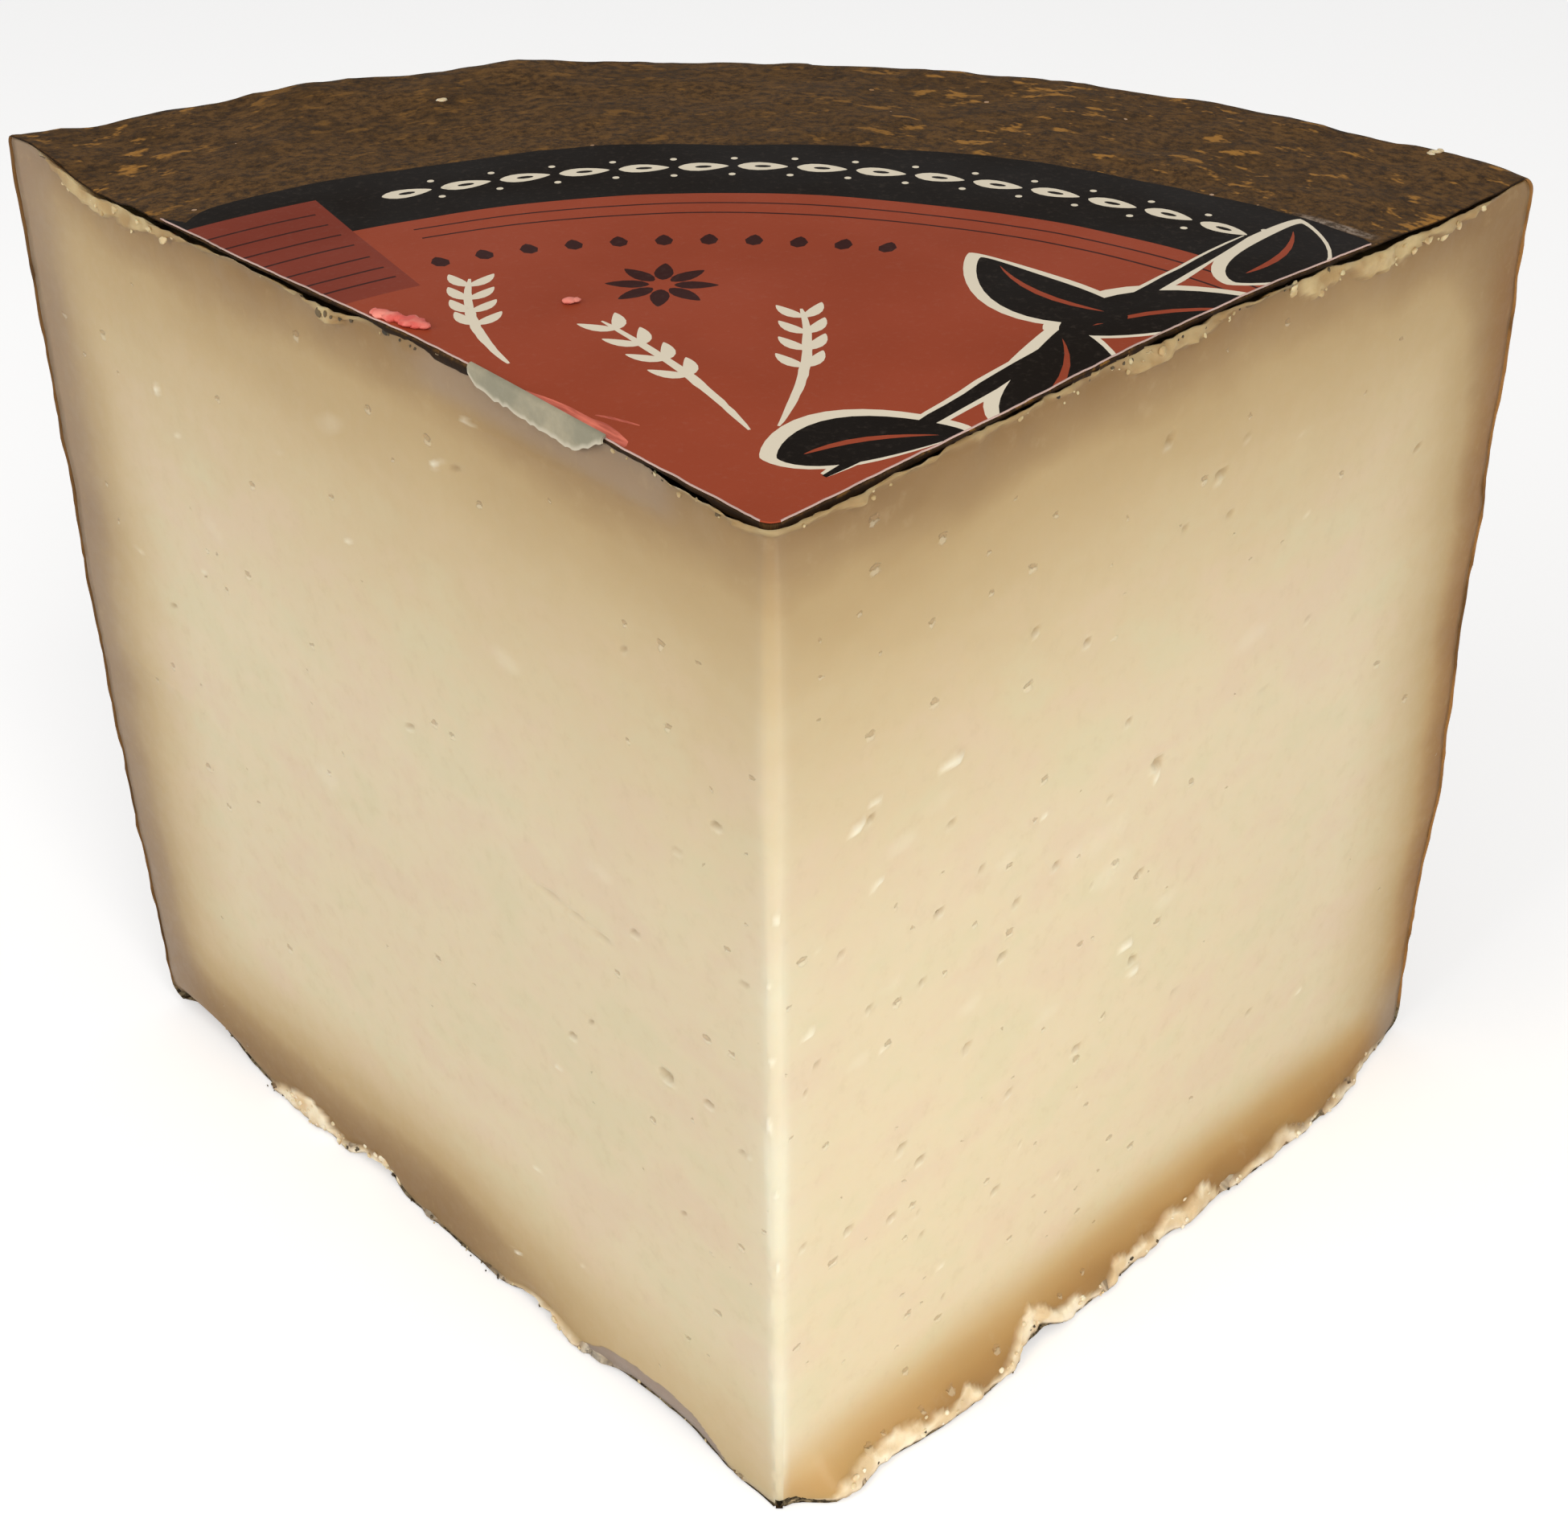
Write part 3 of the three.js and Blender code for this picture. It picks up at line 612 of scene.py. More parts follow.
def pore_group():
    """One uneven pore in some cells of a Voronoi pattern, in millimetres: a hollow oval about the cell's
    middle, and a lip just below it, which the paste paints with shade in the hollow and a highlight on the
    lip."""
    group, given, result = new_group(
        "pore dashes",
        [("Vector", "Vector", None), ("Rare", "Float", 0.7), ("Cell", "Float", 3.4)],
        [("Hollow", "Float"), ("Lip", "Float")],
    )
    place = given["Vector"]
    scale = calculate(group, "DIVIDE", 1.0, given["Cell"])
    cells = add(group, "TexVoronoi", {"Vector": place, "Scale": scale, "Randomness": 0.9}).outputs
    bent = add(group, "TexNoise", {"Vector": place, "Scale": 2.2, "Detail": 2.0}).outputs["Color"]
    bent = on_vector(group, "MULTIPLY", on_vector(group, "SUBTRACT", bent, (0.5, 0.5, 0.5)), (0.7, 0.7, 0.7))
    away = on_vector(group, "ADD", on_vector(group, "SUBTRACT", place, cells["Position"]), bent)
    picked = add(group, "SeparateColor", {0: cells["Color"]}).outputs
    there = calculate(group, "GREATER_THAN", picked[1], given["Rare"])
    size = spread(group, picked[0], 0.2, 1, 0.2, 0.6)
    sideways = axis(group, away, 0)
    for key, slimness, lower in (("Hollow", 0.5, 0.0), ("Lip", 0.6, 0.75)):
        lowered = calculate(group, "ADD", axis(group, away, 1), times(group, size, lower * slimness * 1.6))
        tall = calculate(group, "DIVIDE", lowered, slimness)
        squares = calculate(group, "ADD", times(group, sideways, sideways), times(group, tall, tall))
        far = calculate(group, "DIVIDE", calculate(group, "SQRT", squares), size)
        group.links.new(times(group, spread(group, far, 1.0, 0.5), there), result[key])
    return group


pore_dashes = pore_group()


def new_material(name):
    material = bpy.data.materials.new(name)
    material.use_nodes = True
    tree = material.node_tree
    return material, tree, tree.nodes["Principled BSDF"], add(tree, "TexCoord").outputs["Object"]


def use(tree, group, inputs):
    """A node group placed in a material with its own values."""
    made = tree.nodes.new("ShaderNodeGroup")
    made.node_tree = group
    for key, value in inputs.items():
        if isinstance(value, bpy.types.NodeSocket):
            tree.links.new(value, made.inputs[key])
        else:
            made.inputs[key].default_value = value
    return made.outputs


def finish_shader(tree, shader, colour, roughness, bumps):
    """Joins colour, roughness and a stack of bumps, each (height, strength, distance in mm)."""
    tree.links.new(colour, shader.inputs["Base Color"])
    tree.links.new(roughness, shader.inputs["Roughness"])
    normal = None
    for relief, strength, distance in bumps:
        inputs = {"Height": relief, "Strength": strength, "Distance": distance * 0.001}
        made = add(tree, "Bump", inputs)
        if normal is not None:
            tree.links.new(normal, made.inputs["Normal"])
        normal = made.outputs[0]
    tree.links.new(normal, shader.inputs["Normal"])


paste_tones = (  # at distances from the rind in millimetres
    (0, (132, 100, 58)), (4.3, (162, 133, 90)), (7, (180, 153, 107)), (14, (197, 174, 132)),
    (26, (210, 191, 154)), (40, (217, 201, 168)),
)


def tone_ramp(tree, distance, tones):
    """Screen colours at distances, joined by a smooth ramp."""
    deepest = tones[-1][0]
    ramp = add(tree, "ValToRGB", {0: calculate(tree, "DIVIDE", distance, deepest)})
    ramp.color_ramp.interpolation = "B_SPLINE"
    for at, screen in tones[1:-1]:
        ramp.color_ramp.elements.new(at / deepest).color = tone(*screen)
    ramp.color_ramp.elements[0].color = tone(*tones[0][1])
    ramp.color_ramp.elements[-1].color = tone(*tones[-1][1])
    return ramp.outputs[0]


def curd_colour(tree, leaning, distance, clouds, fine):
    """The ramp with faint pink and green clouds in the inner curd, its grey and warm stretches, and a
    painted highlight along the front edge."""
    pinkish = noise(tree, leaning, 7, 3, 0.6)
    inner = spread(tree, distance, 8, 30)
    colour = coats(
        tree, tone_ramp(tree, distance, paste_tones),
        (times(tree, spread(tree, pinkish, 0.48, 0.66, 0, 0.4), inner), (214, 188, 162)),
        (times(tree, spread(tree, pinkish, 0.5, 0.32, 0, 0.4), inner), (206, 198, 160)),
        (times(tree, kept(tree, "grey"), 0.45), (156, 138, 122)),
    )
    warmed = blend(tree, 1.0, colour, tone(250, 229, 192), "MULTIPLY")
    colour = blend(tree, kept(tree, "warm"), colour, warmed)
    patchy = times(tree, spread(tree, distance, 3, 24, 0.1, 0.6), spread(tree, clouds, 0.3, 0.6, 0.5, 1))
    # The last coats: darker grain, and the painted highlight on the front edge, patchy.
    return coats(
        tree, colour,
        (spread(tree, fine, 0.52, 0.8, 0, 0.2), (190, 168, 132)),
        (times(tree, kept(tree, "painted_edge_highlight"), patchy), (226, 224, 202)),
    )


def fine_pores(tree):
    """Pores too fine for the mesh, thickest on the right cut near the point."""
    across = kept(tree, "across", "Vector")
    side = axis(tree, across, 0)
    rare_right = spread(tree, side, 25, 75, 0.79, 0.97)
    rare_left = spread(tree, side, 2, -20, 0.79, 0.94)
    rare = calculate(tree, "MAXIMUM", rare_right, rare_left)
    return use(tree, pore_dashes, {"Vector": across, "Rare": rare})


def paste_material():
    """Ivory curd that turns straw and then yellow-brown towards the rind, with pores and flakes."""
    material, tree, shader, place = new_material("aged paste")
    leaning = turned_about(tree, place, (0, 0.7, 0), (1, 1, 1.6))
    clouds = noise(tree, leaning, 11, 3)
    fine = noise(tree, place, 1.1, 3, 0.65)
    uneven = times(tree, calculate(tree, "SUBTRACT", clouds, 0.5), 7.0)
    distance = calculate(tree, "ADD", kept(tree, "to_rind"), uneven)
    pores = fine_pores(tree)
    torn = kept(tree, "torn")
    # Painted highlight on the fine pores' lower lips, and painted shade inside the fine pores and the
    # openings.
    colour = coats(
        tree, curd_colour(tree, leaning, distance, clouds, fine),
        (times(tree, pores["Lip"], 0.25), (232, 224, 198)),
        (times(tree, pores["Hollow"], 0.4), (160, 130, 92)),
        (times(tree, kept(tree, "open"), 0.5), (150, 120, 78)),
    )
    # Painted shade in the undercut at the foot of the left cut: a dark line under its top edge and
    # grey-mauve below, partly the rind's own colour.
    shaded = spread(tree, kept(tree, "hollow"), 0.1, 0.95)
    painted_hollow_shade = blend(tree, spread(tree, shaded, 0.5, 0.9), tone(96, 76, 56), tone(150, 132, 118))
    colour = blend(tree, shaded, colour, painted_hollow_shade)
    grain = use(tree, crumb_grain, {"Vector": place, "Clot": 1.6, "Grit": 0.35})
    high_up = spread(tree, axis(tree, place, 2), 0.02, 0.05)
    dull = blend(tree, high_up, tone(222, 192, 150), tone(176, 146, 98))
    pale = blend(tree, high_up, tone(250, 232, 200), tone(208, 186, 138))
    colour = blend(tree, torn, colour, blend(tree, grain["Mask"], dull, pale))
    # Pale flakes, smears and nicks, and the painted highlight on the openings' lower lips.
    colour = coats(tree, colour, (times(tree, kept(tree, "pale_marks_and_lip_highlight"), 0.7), (240, 234, 212)))
    roughness = calculate(tree, "ADD", spread(tree, fine, 0.3, 0.7, 0.42, 0.58), times(tree, torn, 0.2))
    sunk = calculate(tree, "SUBTRACT", times(tree, pores["Lip"], 0.4), pores["Hollow"])
    rough_grain = times(tree, grain["Height"], torn)
    bumps = [(fine, 0.2, 0.1), (rough_grain, 0.6, 0.4), (sunk, 0.6, 0.25)]
    finish_shader(tree, shader, colour, roughness, bumps)
    shader.inputs["Subsurface Weight"].default_value = 0.2
    shader.inputs["Subsurface Radius"].default_value = (1.0, 0.62, 0.36)
    shader.inputs["Subsurface Scale"].default_value = 0.003
    shader.inputs["Specular IOR Level"].default_value = 0.4
    return material


paste = paste_mesh()
paste.data.materials.append(paste_material())
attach(paste, "root")
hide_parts("cheese")

# The rind is the wheel's dried skin, brushed and oiled while the cheese aged, so it is dark brown
# with ochre patches. It wraps the paste on the top, the side and the foot, and the knife left it
# with a thin ragged lip along both cuts.
rind_thickness = 0.8
side_lip = 0.4  # depth of the rind down the side of each cut
foot_lip_at_point, foot_lip, outer_foot_lip = 0.12, 0.35, 0.9  # its depth along the foot
lip_proud, foot_proud = 0.1, 0.1  # how far its edge stands out of the cut
around_fine = 3.0  # the lip's columns are closer over this distance
rim_arc = 2 * half_angle * wheel_radius
skin_waves = ((3.1, 0.13), (1.7, 0.08))  # (size, height) of its finest lumps


def rind_path():
    """Rows of the skin, from the point over the top, down the side and under the foot to the point:
    for each row the stretch it is on and its share of that stretch."""
    top = stations(0, (1, 0.6 / wheel_radius))
    side = stations(1, (0.955, -0.25 / height), (0.03, -0.72 / height), (0, -0.25 / height))[1:]
    foot = stations(1, (0, -0.75 / wheel_radius))[1:]
    stretch = np.repeat([0, 1, 2], [len(top), len(side), len(foot)])
    return stretch, np.concatenate([top, side, foot])


def skin_surface(stretch, share, azimuth_share, sunk):
    """The skin at a depth below its outer surface. On the top and the foot a column runs straight
    from the rounded point to the rim; on the side it runs down the wheel."""
    turn = mix(-1, 1, azimuth_share) * (np.pi / 2 - half_angle)
    tip = np.stack([np.sin(turn) * point_radius,
                    point_radius / np.sin(half_angle) - np.cos(turn) * point_radius])
    z = np.where(stretch == 0, height, np.where(stretch == 1, share * height, 0.0))
    for _ in range(2):
        ends = [corner(cut, z)[0] for cut in (left, right)]
        azimuth = mix(ends[0], ends[1], azimuth_share)
        radius = side_radius(azimuth, z)
        rim = np.stack([wheel_middle_x + radius * np.sin(azimuth), radius * np.cos(azimuth)])
        top = rind_height(*rim)
        z = np.where(stretch == 0, top, np.where(stretch == 1, share * top, 0.0))
    inward = np.where(stretch == 1, sunk, 0)
    rim = np.stack([rim[0] - inward * np.sin(azimuth), rim[1] - inward * np.cos(azimuth)])
    flat = np.where(stretch == 1, 1.0, share)
    x, y = tip + (rim - tip) * flat
    z = np.where(stretch == 0, rind_height(x, y) - sunk, np.where(stretch == 1, z, sunk))
    return x, y, z, azimuth


def rind_columns():
    """Shares of the way from the left cut to the right one, out along the outer surface and back
    along the inner one, which of them are on a lip, and how deep in the skin each lies."""
    ends = (around_fine, rim_arc - around_fine)
    outside = stations(0, (ends[0], 0.4), (ends[1], 0.84), (rim_arc, 0.4)) / rim_arc
    inside = outside[:: len(outside) // 12][::-1]
    columns = np.concatenate([outside, [1, 1], inside, [0, 0]])
    lips = np.zeros(len(columns))
    lips[len(outside) : len(outside) + 2] = 1
    lips[-2:] = 1
    return columns, lips, np.concatenate([0 * outside, [0.3, 0.75], 0 * inside + 1, [0.75, 0.3]])


def lip_depth(stretch, cut, reach, z):
    """How deep the rind shows at a cut, by the stretch it is on: the top, the side or the foot."""
    ragged = 1 + 0.5 * lumps(reach, cut * 40, z, 2.3) + 0.4 * lumps(reach, cut * 40, z, 0.9)
    along_top = sum(np.where(cut == side, np.interp(reach, *rind_line[side]), 0) for side in (left, right))
    outer_foot = smooth(reach, 66, 80) * (cut == right)
    foot = mix(foot_lip_at_point, mix(foot_lip, outer_foot_lip, outer_foot), smooth(reach, 2, 7))
    foot = foot * (0.6 + 0.4 * lumps(reach, cut * 20, 5, 3.5))
    depth = np.where(stretch == 1, side_lip, np.where(stretch == 0, along_top, foot))
    return depth * np.clip(ragged, 0.3, 2)


def follow_cuts(x, y, z, cut, lips, stretch):
    """Near a cut the skin takes on the cut's relief, and its lip stands a little proud of it."""
    for side in (left, right):
        (dx, dy), (nx, ny) = cut_direction(side), cut_normal(side)
        s = np.clip(x * dx + y * dy, point_radius, None)
        from_plane = np.abs(x * nx + y * ny)
        cx, cy = dx * s, dy * s
        face = cut_relief(side, s, z, rind_height(cx, cy), cx, cy)
        face = face * smooth(corner(side, z)[1] - s, 0, 2.5)
        proud = lips * np.where(stretch == 2, foot_proud, lip_proud) * (1 + 0.9 * lumps(s, side * 9, z, 1.2))
        out = (face + proud) * np.where(cut == side, 1, 0) * bump(from_plane, 2.2)
        x, y = x + nx * out, y + ny * out
    return x, y


def rind_mesh():
    """A closed tube of rows: outside from the left cut to the right one, the right lip, the inside
    back again, and the left lip. Near a cut the skin follows the cut's own relief."""
    stretch, share = (values[:, None] for values in rind_path())
    grid = np.broadcast_arrays(stretch, share, *(values[None, :] for values in rind_columns()))
    stretch, share, columns, lips, depth_share = grid
    x, y, z, azimuth = skin_surface(stretch, share, columns, 0.0)
    cut = np.where(columns < 0.5, left, right)
    reach = np.hypot(x, y)
    near_cut = np.minimum(columns, 1 - columns) * rim_arc
    sunk = depth_share * mix(rind_thickness, lip_depth(stretch, cut, reach, z), bump(near_cut, 1))
    x, y, z, azimuth = skin_surface(stretch, share, columns, sunk)
    x, y = follow_cuts(x, y, z, cut, lips, stretch)
    rise = np.where(cut == left, edge_rise(left, reach), edge_rise(right, reach))
    from_edge = near_cut * np.where(stretch == 2, share, 1)
    z = z + rise * bump(from_edge, 3) * (1 - smooth(z, 0, 6)) * (stretch > 0)
    bare = np.where(stretch == 0, smooth(np.hypot(x - wheel_middle_x, y), 69, 73), 1)
    fine = bare * layered(x, y, z, skin_waves) * (stretch < 2)
    x = x + np.where(stretch == 1, fine * np.sin(azimuth), 0)
    y = y + np.where(stretch == 1, fine * np.cos(azimuth), 0)
    z = z + np.where(stretch == 0, fine, 0)
    rows, count = x.shape
    ends = (range(count), range(rows * count - 1, (rows - 1) * count - 1, -1))
    faces = [*grid_faces(rows, count)[:, ::-1], *ends]
    attributes = {
        "lip": np.maximum(lips, depth_share > 0.2),
        "ochre": np.where(stretch == 1, np.where(cut == left, 0.45, 1.0), 0),
        "around": np.stack([azimuth * wheel_radius, np.hypot(x - wheel_middle_x, y), z], -1),
    }
    attributes = {key: values.reshape(rows * count, -1) for key, values in attributes.items()}
    return mesh_piece("rind", to_part(x, y, z), faces, attributes)


haze_turn = 0.7  # radians, to lie along the label's rim
haze_x, haze_y, _ = to_part(44.8, 51.6, height) * 0.001
haze_at = (haze_x * np.cos(haze_turn) - haze_y * np.sin(haze_turn),
           haze_x * np.sin(haze_turn) + haze_y * np.cos(haze_turn), 0)


def painted_sheen_mask(tree, place, mottle):
    """A painted sheen on the rind beside the label's rim: a whitish soft bar, mottled."""
    off = on_vector(tree, "SUBTRACT", turned_about(tree, place, (0, 0, haze_turn)), haze_at)
    along, away = (calculate(tree, "ABSOLUTE", axis(tree, off, number)) for number in (0, 1))
    bar = times(tree, spread(tree, along, 0.0045, 0.002), spread(tree, away, 0.0008, 0.0003))
    return times(tree, bar, spread(tree, mottle, 0.4, 0.62, 0.1, 0.7))


def fleck_mask(tree, place, around, broad):
    """Flecks that lie mostly on the right half of the wedge and at the left corner."""
    x = axis(tree, place, 0)
    where = calculate(tree, "MAXIMUM", spread(tree, x, -0.01, 0.025), spread(tree, x, -0.045, -0.06))
    level = calculate(tree, "ADD", noise(tree, around, 0.95, 3, 0.65), times(tree, broad, 0.35))
    return times(tree, spread(tree, level, 0.76, 0.86), spread(tree, where, 0, 1, 0.3, 0.9))


def lip_colour(tree, place, mottle, broad):
    """The rind's cut edge: nearly black along the top, its own dark colour with painted shade under the
    label's edge, ochre down the side, drab at the foot.
    """
    fringe = times(tree, kept(tree, "ochre"), spread(tree, broad, 0.35, 0.55, 0.4, 1.0))
    cut_edge_and_shade = blend(tree, fringe, tone(36, 25, 17), tone(160, 114, 64))
    drab = blend(tree, spread(tree, mottle, 0.42, 0.6), tone(44, 36, 24), tone(132, 118, 90))
    return blend(tree, spread(tree, axis(tree, place, 2), 0.004, 0.002), cut_edge_and_shade, drab)


def rind_material():
    """Dark oiled skin: fine brown mottling and tangential streaks, ochre flecks, pale specks."""
    material, tree, shader, place = new_material("brushed rind")
    around = kept(tree, "around", "Vector")
    long_way = on_vector(tree, "MULTIPLY", around, (0.00045, 0.001, 0.001))
    streaks = noise(tree, long_way, 0.7, 3, 0.65)
    mottle = noise(tree, on_vector(tree, "MULTIPLY", around, (0.0007, 0.001, 0.001)), 0.45, 4, 0.75)
    broad = noise(tree, place, 6, 3, 0.6)
    colour = coats(
        tree, blend(tree, spread(tree, mottle, 0.34, 0.68), tone(58, 41, 23), tone(110, 80, 46)),
        (spread(tree, streaks, 0.5, 0.75, 0, 0.5), (126, 90, 46)),
        (spread(tree, broad, 0.4, 0.7, 0, 0.4), (58, 41, 22)),
        (times(tree, spread(tree, mottle, 0.36, 0.3), 0.6), (30, 20, 12)),
        (fleck_mask(tree, place, long_way, broad), (172, 122, 56)),
        # Painted sheen beside the label's rim.
        (painted_sheen_mask(tree, place, mottle), (176, 162, 148)),
    )
    specks = add(tree, "TexVoronoi", {"Vector": place, "Scale": 560.0}).outputs
    picked = add(tree, "SeparateColor", {0: specks["Color"]}).outputs
    reach = spread(tree, picked[0], 0.9, 1.0, 0, 0.15)
    speck = calculate(tree, "LESS_THAN", specks["Distance"], reach)
    speck_colour = blend(tree, picked[1], tone(160, 116, 66), tone(206, 176, 152))
    colour = blend(tree, speck, colour, speck_colour)
    # The lip's colour carries painted shade along the top, under the label's edge.
    lip = times(tree, kept(tree, "lip"), 0.92)
    colour = blend(tree, lip, colour, lip_colour(tree, place, mottle, broad))
    roughness = spread(tree, mottle, 0.3, 0.7, 0.55, 0.75)
    bumps = [(broad, 0.3, 0.5), (mottle, 0.5, 0.25), (streaks, 0.3, 0.2)]
    finish_shader(tree, shader, colour, roughness, bumps)
    shader.inputs["Specular IOR Level"].default_value = 0.08
    return material


rind = rind_mesh()
rind.data.materials.append(rind_material())
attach(rind, "root")
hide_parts("cheese")

# The label is a round sheet of coated paper, glued on the wheel before it was cut, so each wedge
# carries a sector of it. It is printed red with a black rim band, and its print here is a plain
# one of leaves, stalks and rules. The knife left a thin white edge of bare paper along both cuts.
label_corner, label_turn, label_scallop = 7.0, 0.55, 0.8
paper = 0.12
label_lift = 0.1
label_inset = -0.05  # from the planes of the cuts, which it overhangs a little
label_tip = 0.9  # where its edges turn round the point
edge_width, edge_overlap = 0.07, 0.05  # the white edge on the paper, and past it
label_mesh_size = 1.9
label_waves, label_waves_level = ((11, 0.09), (4.5, 0.05)), 7
band_inner = 57.8  # radii from here are of circles about the wheel's middle
side_field = (43.5, 66.3, -60, -31.5)  # two radii and two azimuths in degrees
field_rules, field_rule_width = (46.2, 48.6, 51.4, 54.6, 57.4, 60.2, 63.0), 0.28
long_rules, long_rule_width = (55.4, 53.2), 0.26
bead_radius, dot_radii, dot_size, bead_step = 64.3, (66.3, 62.3), 0.62, 4.6
drop_radius, drop_step = 47.6, 4.4
flower_at, petal_out = (-9.5, 38), 2.7
# The leaves of the spray: (place, length, width, turn in degrees, bend).
spray_leaves = (
    ((6.6, 11.2), 13.5, 6.4, 18, 1.2), ((19, 21.6), 17, 7.6, 74, -1.8),
    ((29.6, 31.0), 18.5, 7.2, 12, 1.6), ((20.5, 36.8), 16.5, 6.6, 128, 1.8),
    ((38.4, 44.6), 15.5, 6.4, 62, -1.4),
)
# The stalks: where each starts, the place that bends it, and where it ends.
stalk_lines = (
    ((-1.8, 13.2), (-6, 22), (-13.5, 30.5)), ((0.2, 13.8), (3, 24), (1.4, 33.5)),
    ((-19.5, 22.5), (-24, 29), (-24.5, 38.5)),
)
ear_turn, ear_out = 33, 1.7


def turned(along, across, at, turn):
    """A flat outline turned by an angle in degrees and moved to its place."""
    angle = np.radians(turn)
    return np.stack([at[0] + along * np.cos(angle) - across * np.sin(angle),
                     at[1] + along * np.sin(angle) + across * np.cos(angle)], -1)


def leaf(at, length, width, turn, bend=0.0, points=36):
    """A bent leaf: half its width times sin(t)|sin(t)|^0.4 over a length of cos(t)."""
    t = np.linspace(0, 2 * np.pi, points, endpoint=False)
    along = np.cos(t)
    across = 0.5 * width * np.sign(np.sin(t)) * np.abs(np.sin(t)) ** 1.4 * (1 - 0.3 * along)
    return turned(0.5 * length * along, across + bend * (1 - along**2), at, turn)


def oval(at, length, width, turn, points):
    t = np.linspace(0, 2 * np.pi, points, endpoint=False)
    return turned(0.5 * length * np.cos(t), 0.5 * width * np.sin(t), at, turn)


def on_curve(t, start, pull, end):
    """Places on the curve (1-t)^2 a + 2t(1-t) b + t^2 c."""
    a, b, c = (np.array(value, float) for value in (start, pull, end))
    return (1 - t) ** 2 * a + 2 * t * (1 - t) * b + t**2 * c


def stroke(start, pull, end, width, seed):
    """A brush stroke along a curve, thin at its ends and ragged."""
    t = np.linspace(0, 1, 26)[:, None]
    line = on_curve(t, start, pull, end)
    along = np.gradient(line, axis=0)
    along /= np.linalg.norm(along, axis=1, keepdims=True)
    normal = np.stack([-along[:, 1], along[:, 0]], -1)
    half = 0.5 * width * (0.25 + 0.75 * np.sin(np.pi * t) ** 0.6)
    sides = []
    for side in (1, -1):
        ragged = 1 + 0.16 * lumps(t * 20, side * 5, seed, 1.0)
        sides.append(line + side * half * ragged * normal)
    return np.vstack([sides[0], sides[1][::-1]])


def on_wheel(radius, azimuth):
    """Plan places on a circle about the wheel's middle, at azimuths in radians."""
    return np.stack([wheel_middle_x + radius * np.sin(azimuth), radius * np.cos(azimuth)], -1)


def sector(inner, outer, azimuth_from, azimuth_to):
    """A strip between two circles about the wheel's middle, between two azimuths in degrees."""
    count = max(int(abs(azimuth_to - azimuth_from)), 2) + 2
    azimuth = np.radians(np.linspace(azimuth_from, azimuth_to, count))
    return np.vstack([on_wheel(inner, azimuth), on_wheel(outer, azimuth)[::-1]])


def beside_cut(cut, s, inward):
    """Plan places along a cut, set in from it."""
    (dx, dy), (nx, ny) = cut_direction(cut), cut_normal(cut)
    return np.stack([dx * s - nx * inward, dy * s - ny * inward], -1)


def cut_end(cut):
    """Distance from the point to where the label's rim meets a cut."""
    along = -cut * np.sin(half_angle) * wheel_middle_x
    return np.sqrt(label_radius**2 - wheel_middle_x**2 + along**2) - along


def label_edge(cut, inset):
    """The label's cut edge: a line along the cut, set in from it and slightly ragged."""
    s = stations(label_tip, (cut_end(cut), 0.45))
    dx, dy = cut_direction(cut)
    waves = layered(dx * s, dy * s, height, cut_waves) * smooth(s, 0, 12)
    back = inset - waves + 0.05 * lumps(s, cut * 3, 0, 1.6) + 0.03 * lumps(s, cut * 3, 0, 0.6)
    return beside_cut(cut, s, back)


def label_outline():
    """Up the right cut, round the rim, down the left cut, and round the point."""
    ends = {}
    for cut in (left, right):
        x, y = cut_direction(cut) * cut_end(cut)
        ends[cut] = np.arctan2(x - wheel_middle_x, y)
    azimuth = np.linspace(ends[right], ends[left], 110)[1:-1]
    arc = azimuth * label_radius
    turn_in = label_turn * rounding_inset(label_corner, (azimuth - ends[left]) * label_radius)
    radius = label_radius + label_scallop * lumps(arc, 0, 0, 13) - turn_in + 0.12 * lumps(arc, 5, 0, 2.5)
    rim = on_wheel(radius, azimuth)
    turn = np.linspace(-1, 1, 5)[1:-1] * (np.pi / 2 - half_angle)
    radius = label_tip * np.tan(half_angle)
    middle = label_tip / np.cos(half_angle)
    tip = np.stack([np.sin(turn) * radius, middle - np.cos(turn) * radius], -1)
    return np.vstack([label_edge(right, label_inset), rim, label_edge(left, label_inset)[::-1], tip])


def fields():
    """The black rim band, a lighter field with rules across it, and two long rules."""
    shapes = [("black", sector(band_inner, 76, -62, 62)), ("light red", sector(*side_field))]
    for radius in field_rules:
        shapes.append(("dark", sector(radius, radius + field_rule_width, -60, -32.6)))
    for radius in long_rules:
        shapes.append(("dark", sector(radius, radius + long_rule_width, -27, 60)))
    return shapes


def beads():
    """Ovals with dots between them along the band, and a row of drops inside the rules."""
    shapes = []
    for azimuth in np.arange(-25, 62, bead_step):
        at = on_wheel(bead_radius, np.radians(azimuth))
        shapes.append(("cream", leaf(at, 4.4, 1.9, -azimuth, points=18)))
        shapes.append(("black", oval(at, 1.5, 0.6, -azimuth, 10)))
        for radius in dot_radii:
            dot = on_wheel(radius, np.radians(azimuth + bead_step / 2))
            shapes.append(("cream", oval(dot, dot_size, dot_size, 0, 10)))
    for azimuth in np.arange(-27.5, 17, drop_step):
        at = on_wheel(drop_radius, np.radians(azimuth))
        shapes.append(("dark", leaf(at, 2.3, 1.5, 90 - azimuth, points=8)))
    return shapes


def flower():
    """Eight petals round a plain middle."""
    shapes = []
    for turn in np.arange(0, 360, 45):
        angle = np.radians(turn)
        at = (flower_at[0] + petal_out * np.cos(angle), flower_at[1] + petal_out * np.sin(angle))
        shapes.append(("dark", leaf(at, 3.5, 1.5, turn, points=14)))
    return [*shapes, ("red", oval(flower_at, 1.5, 1.5, 0, 12))]


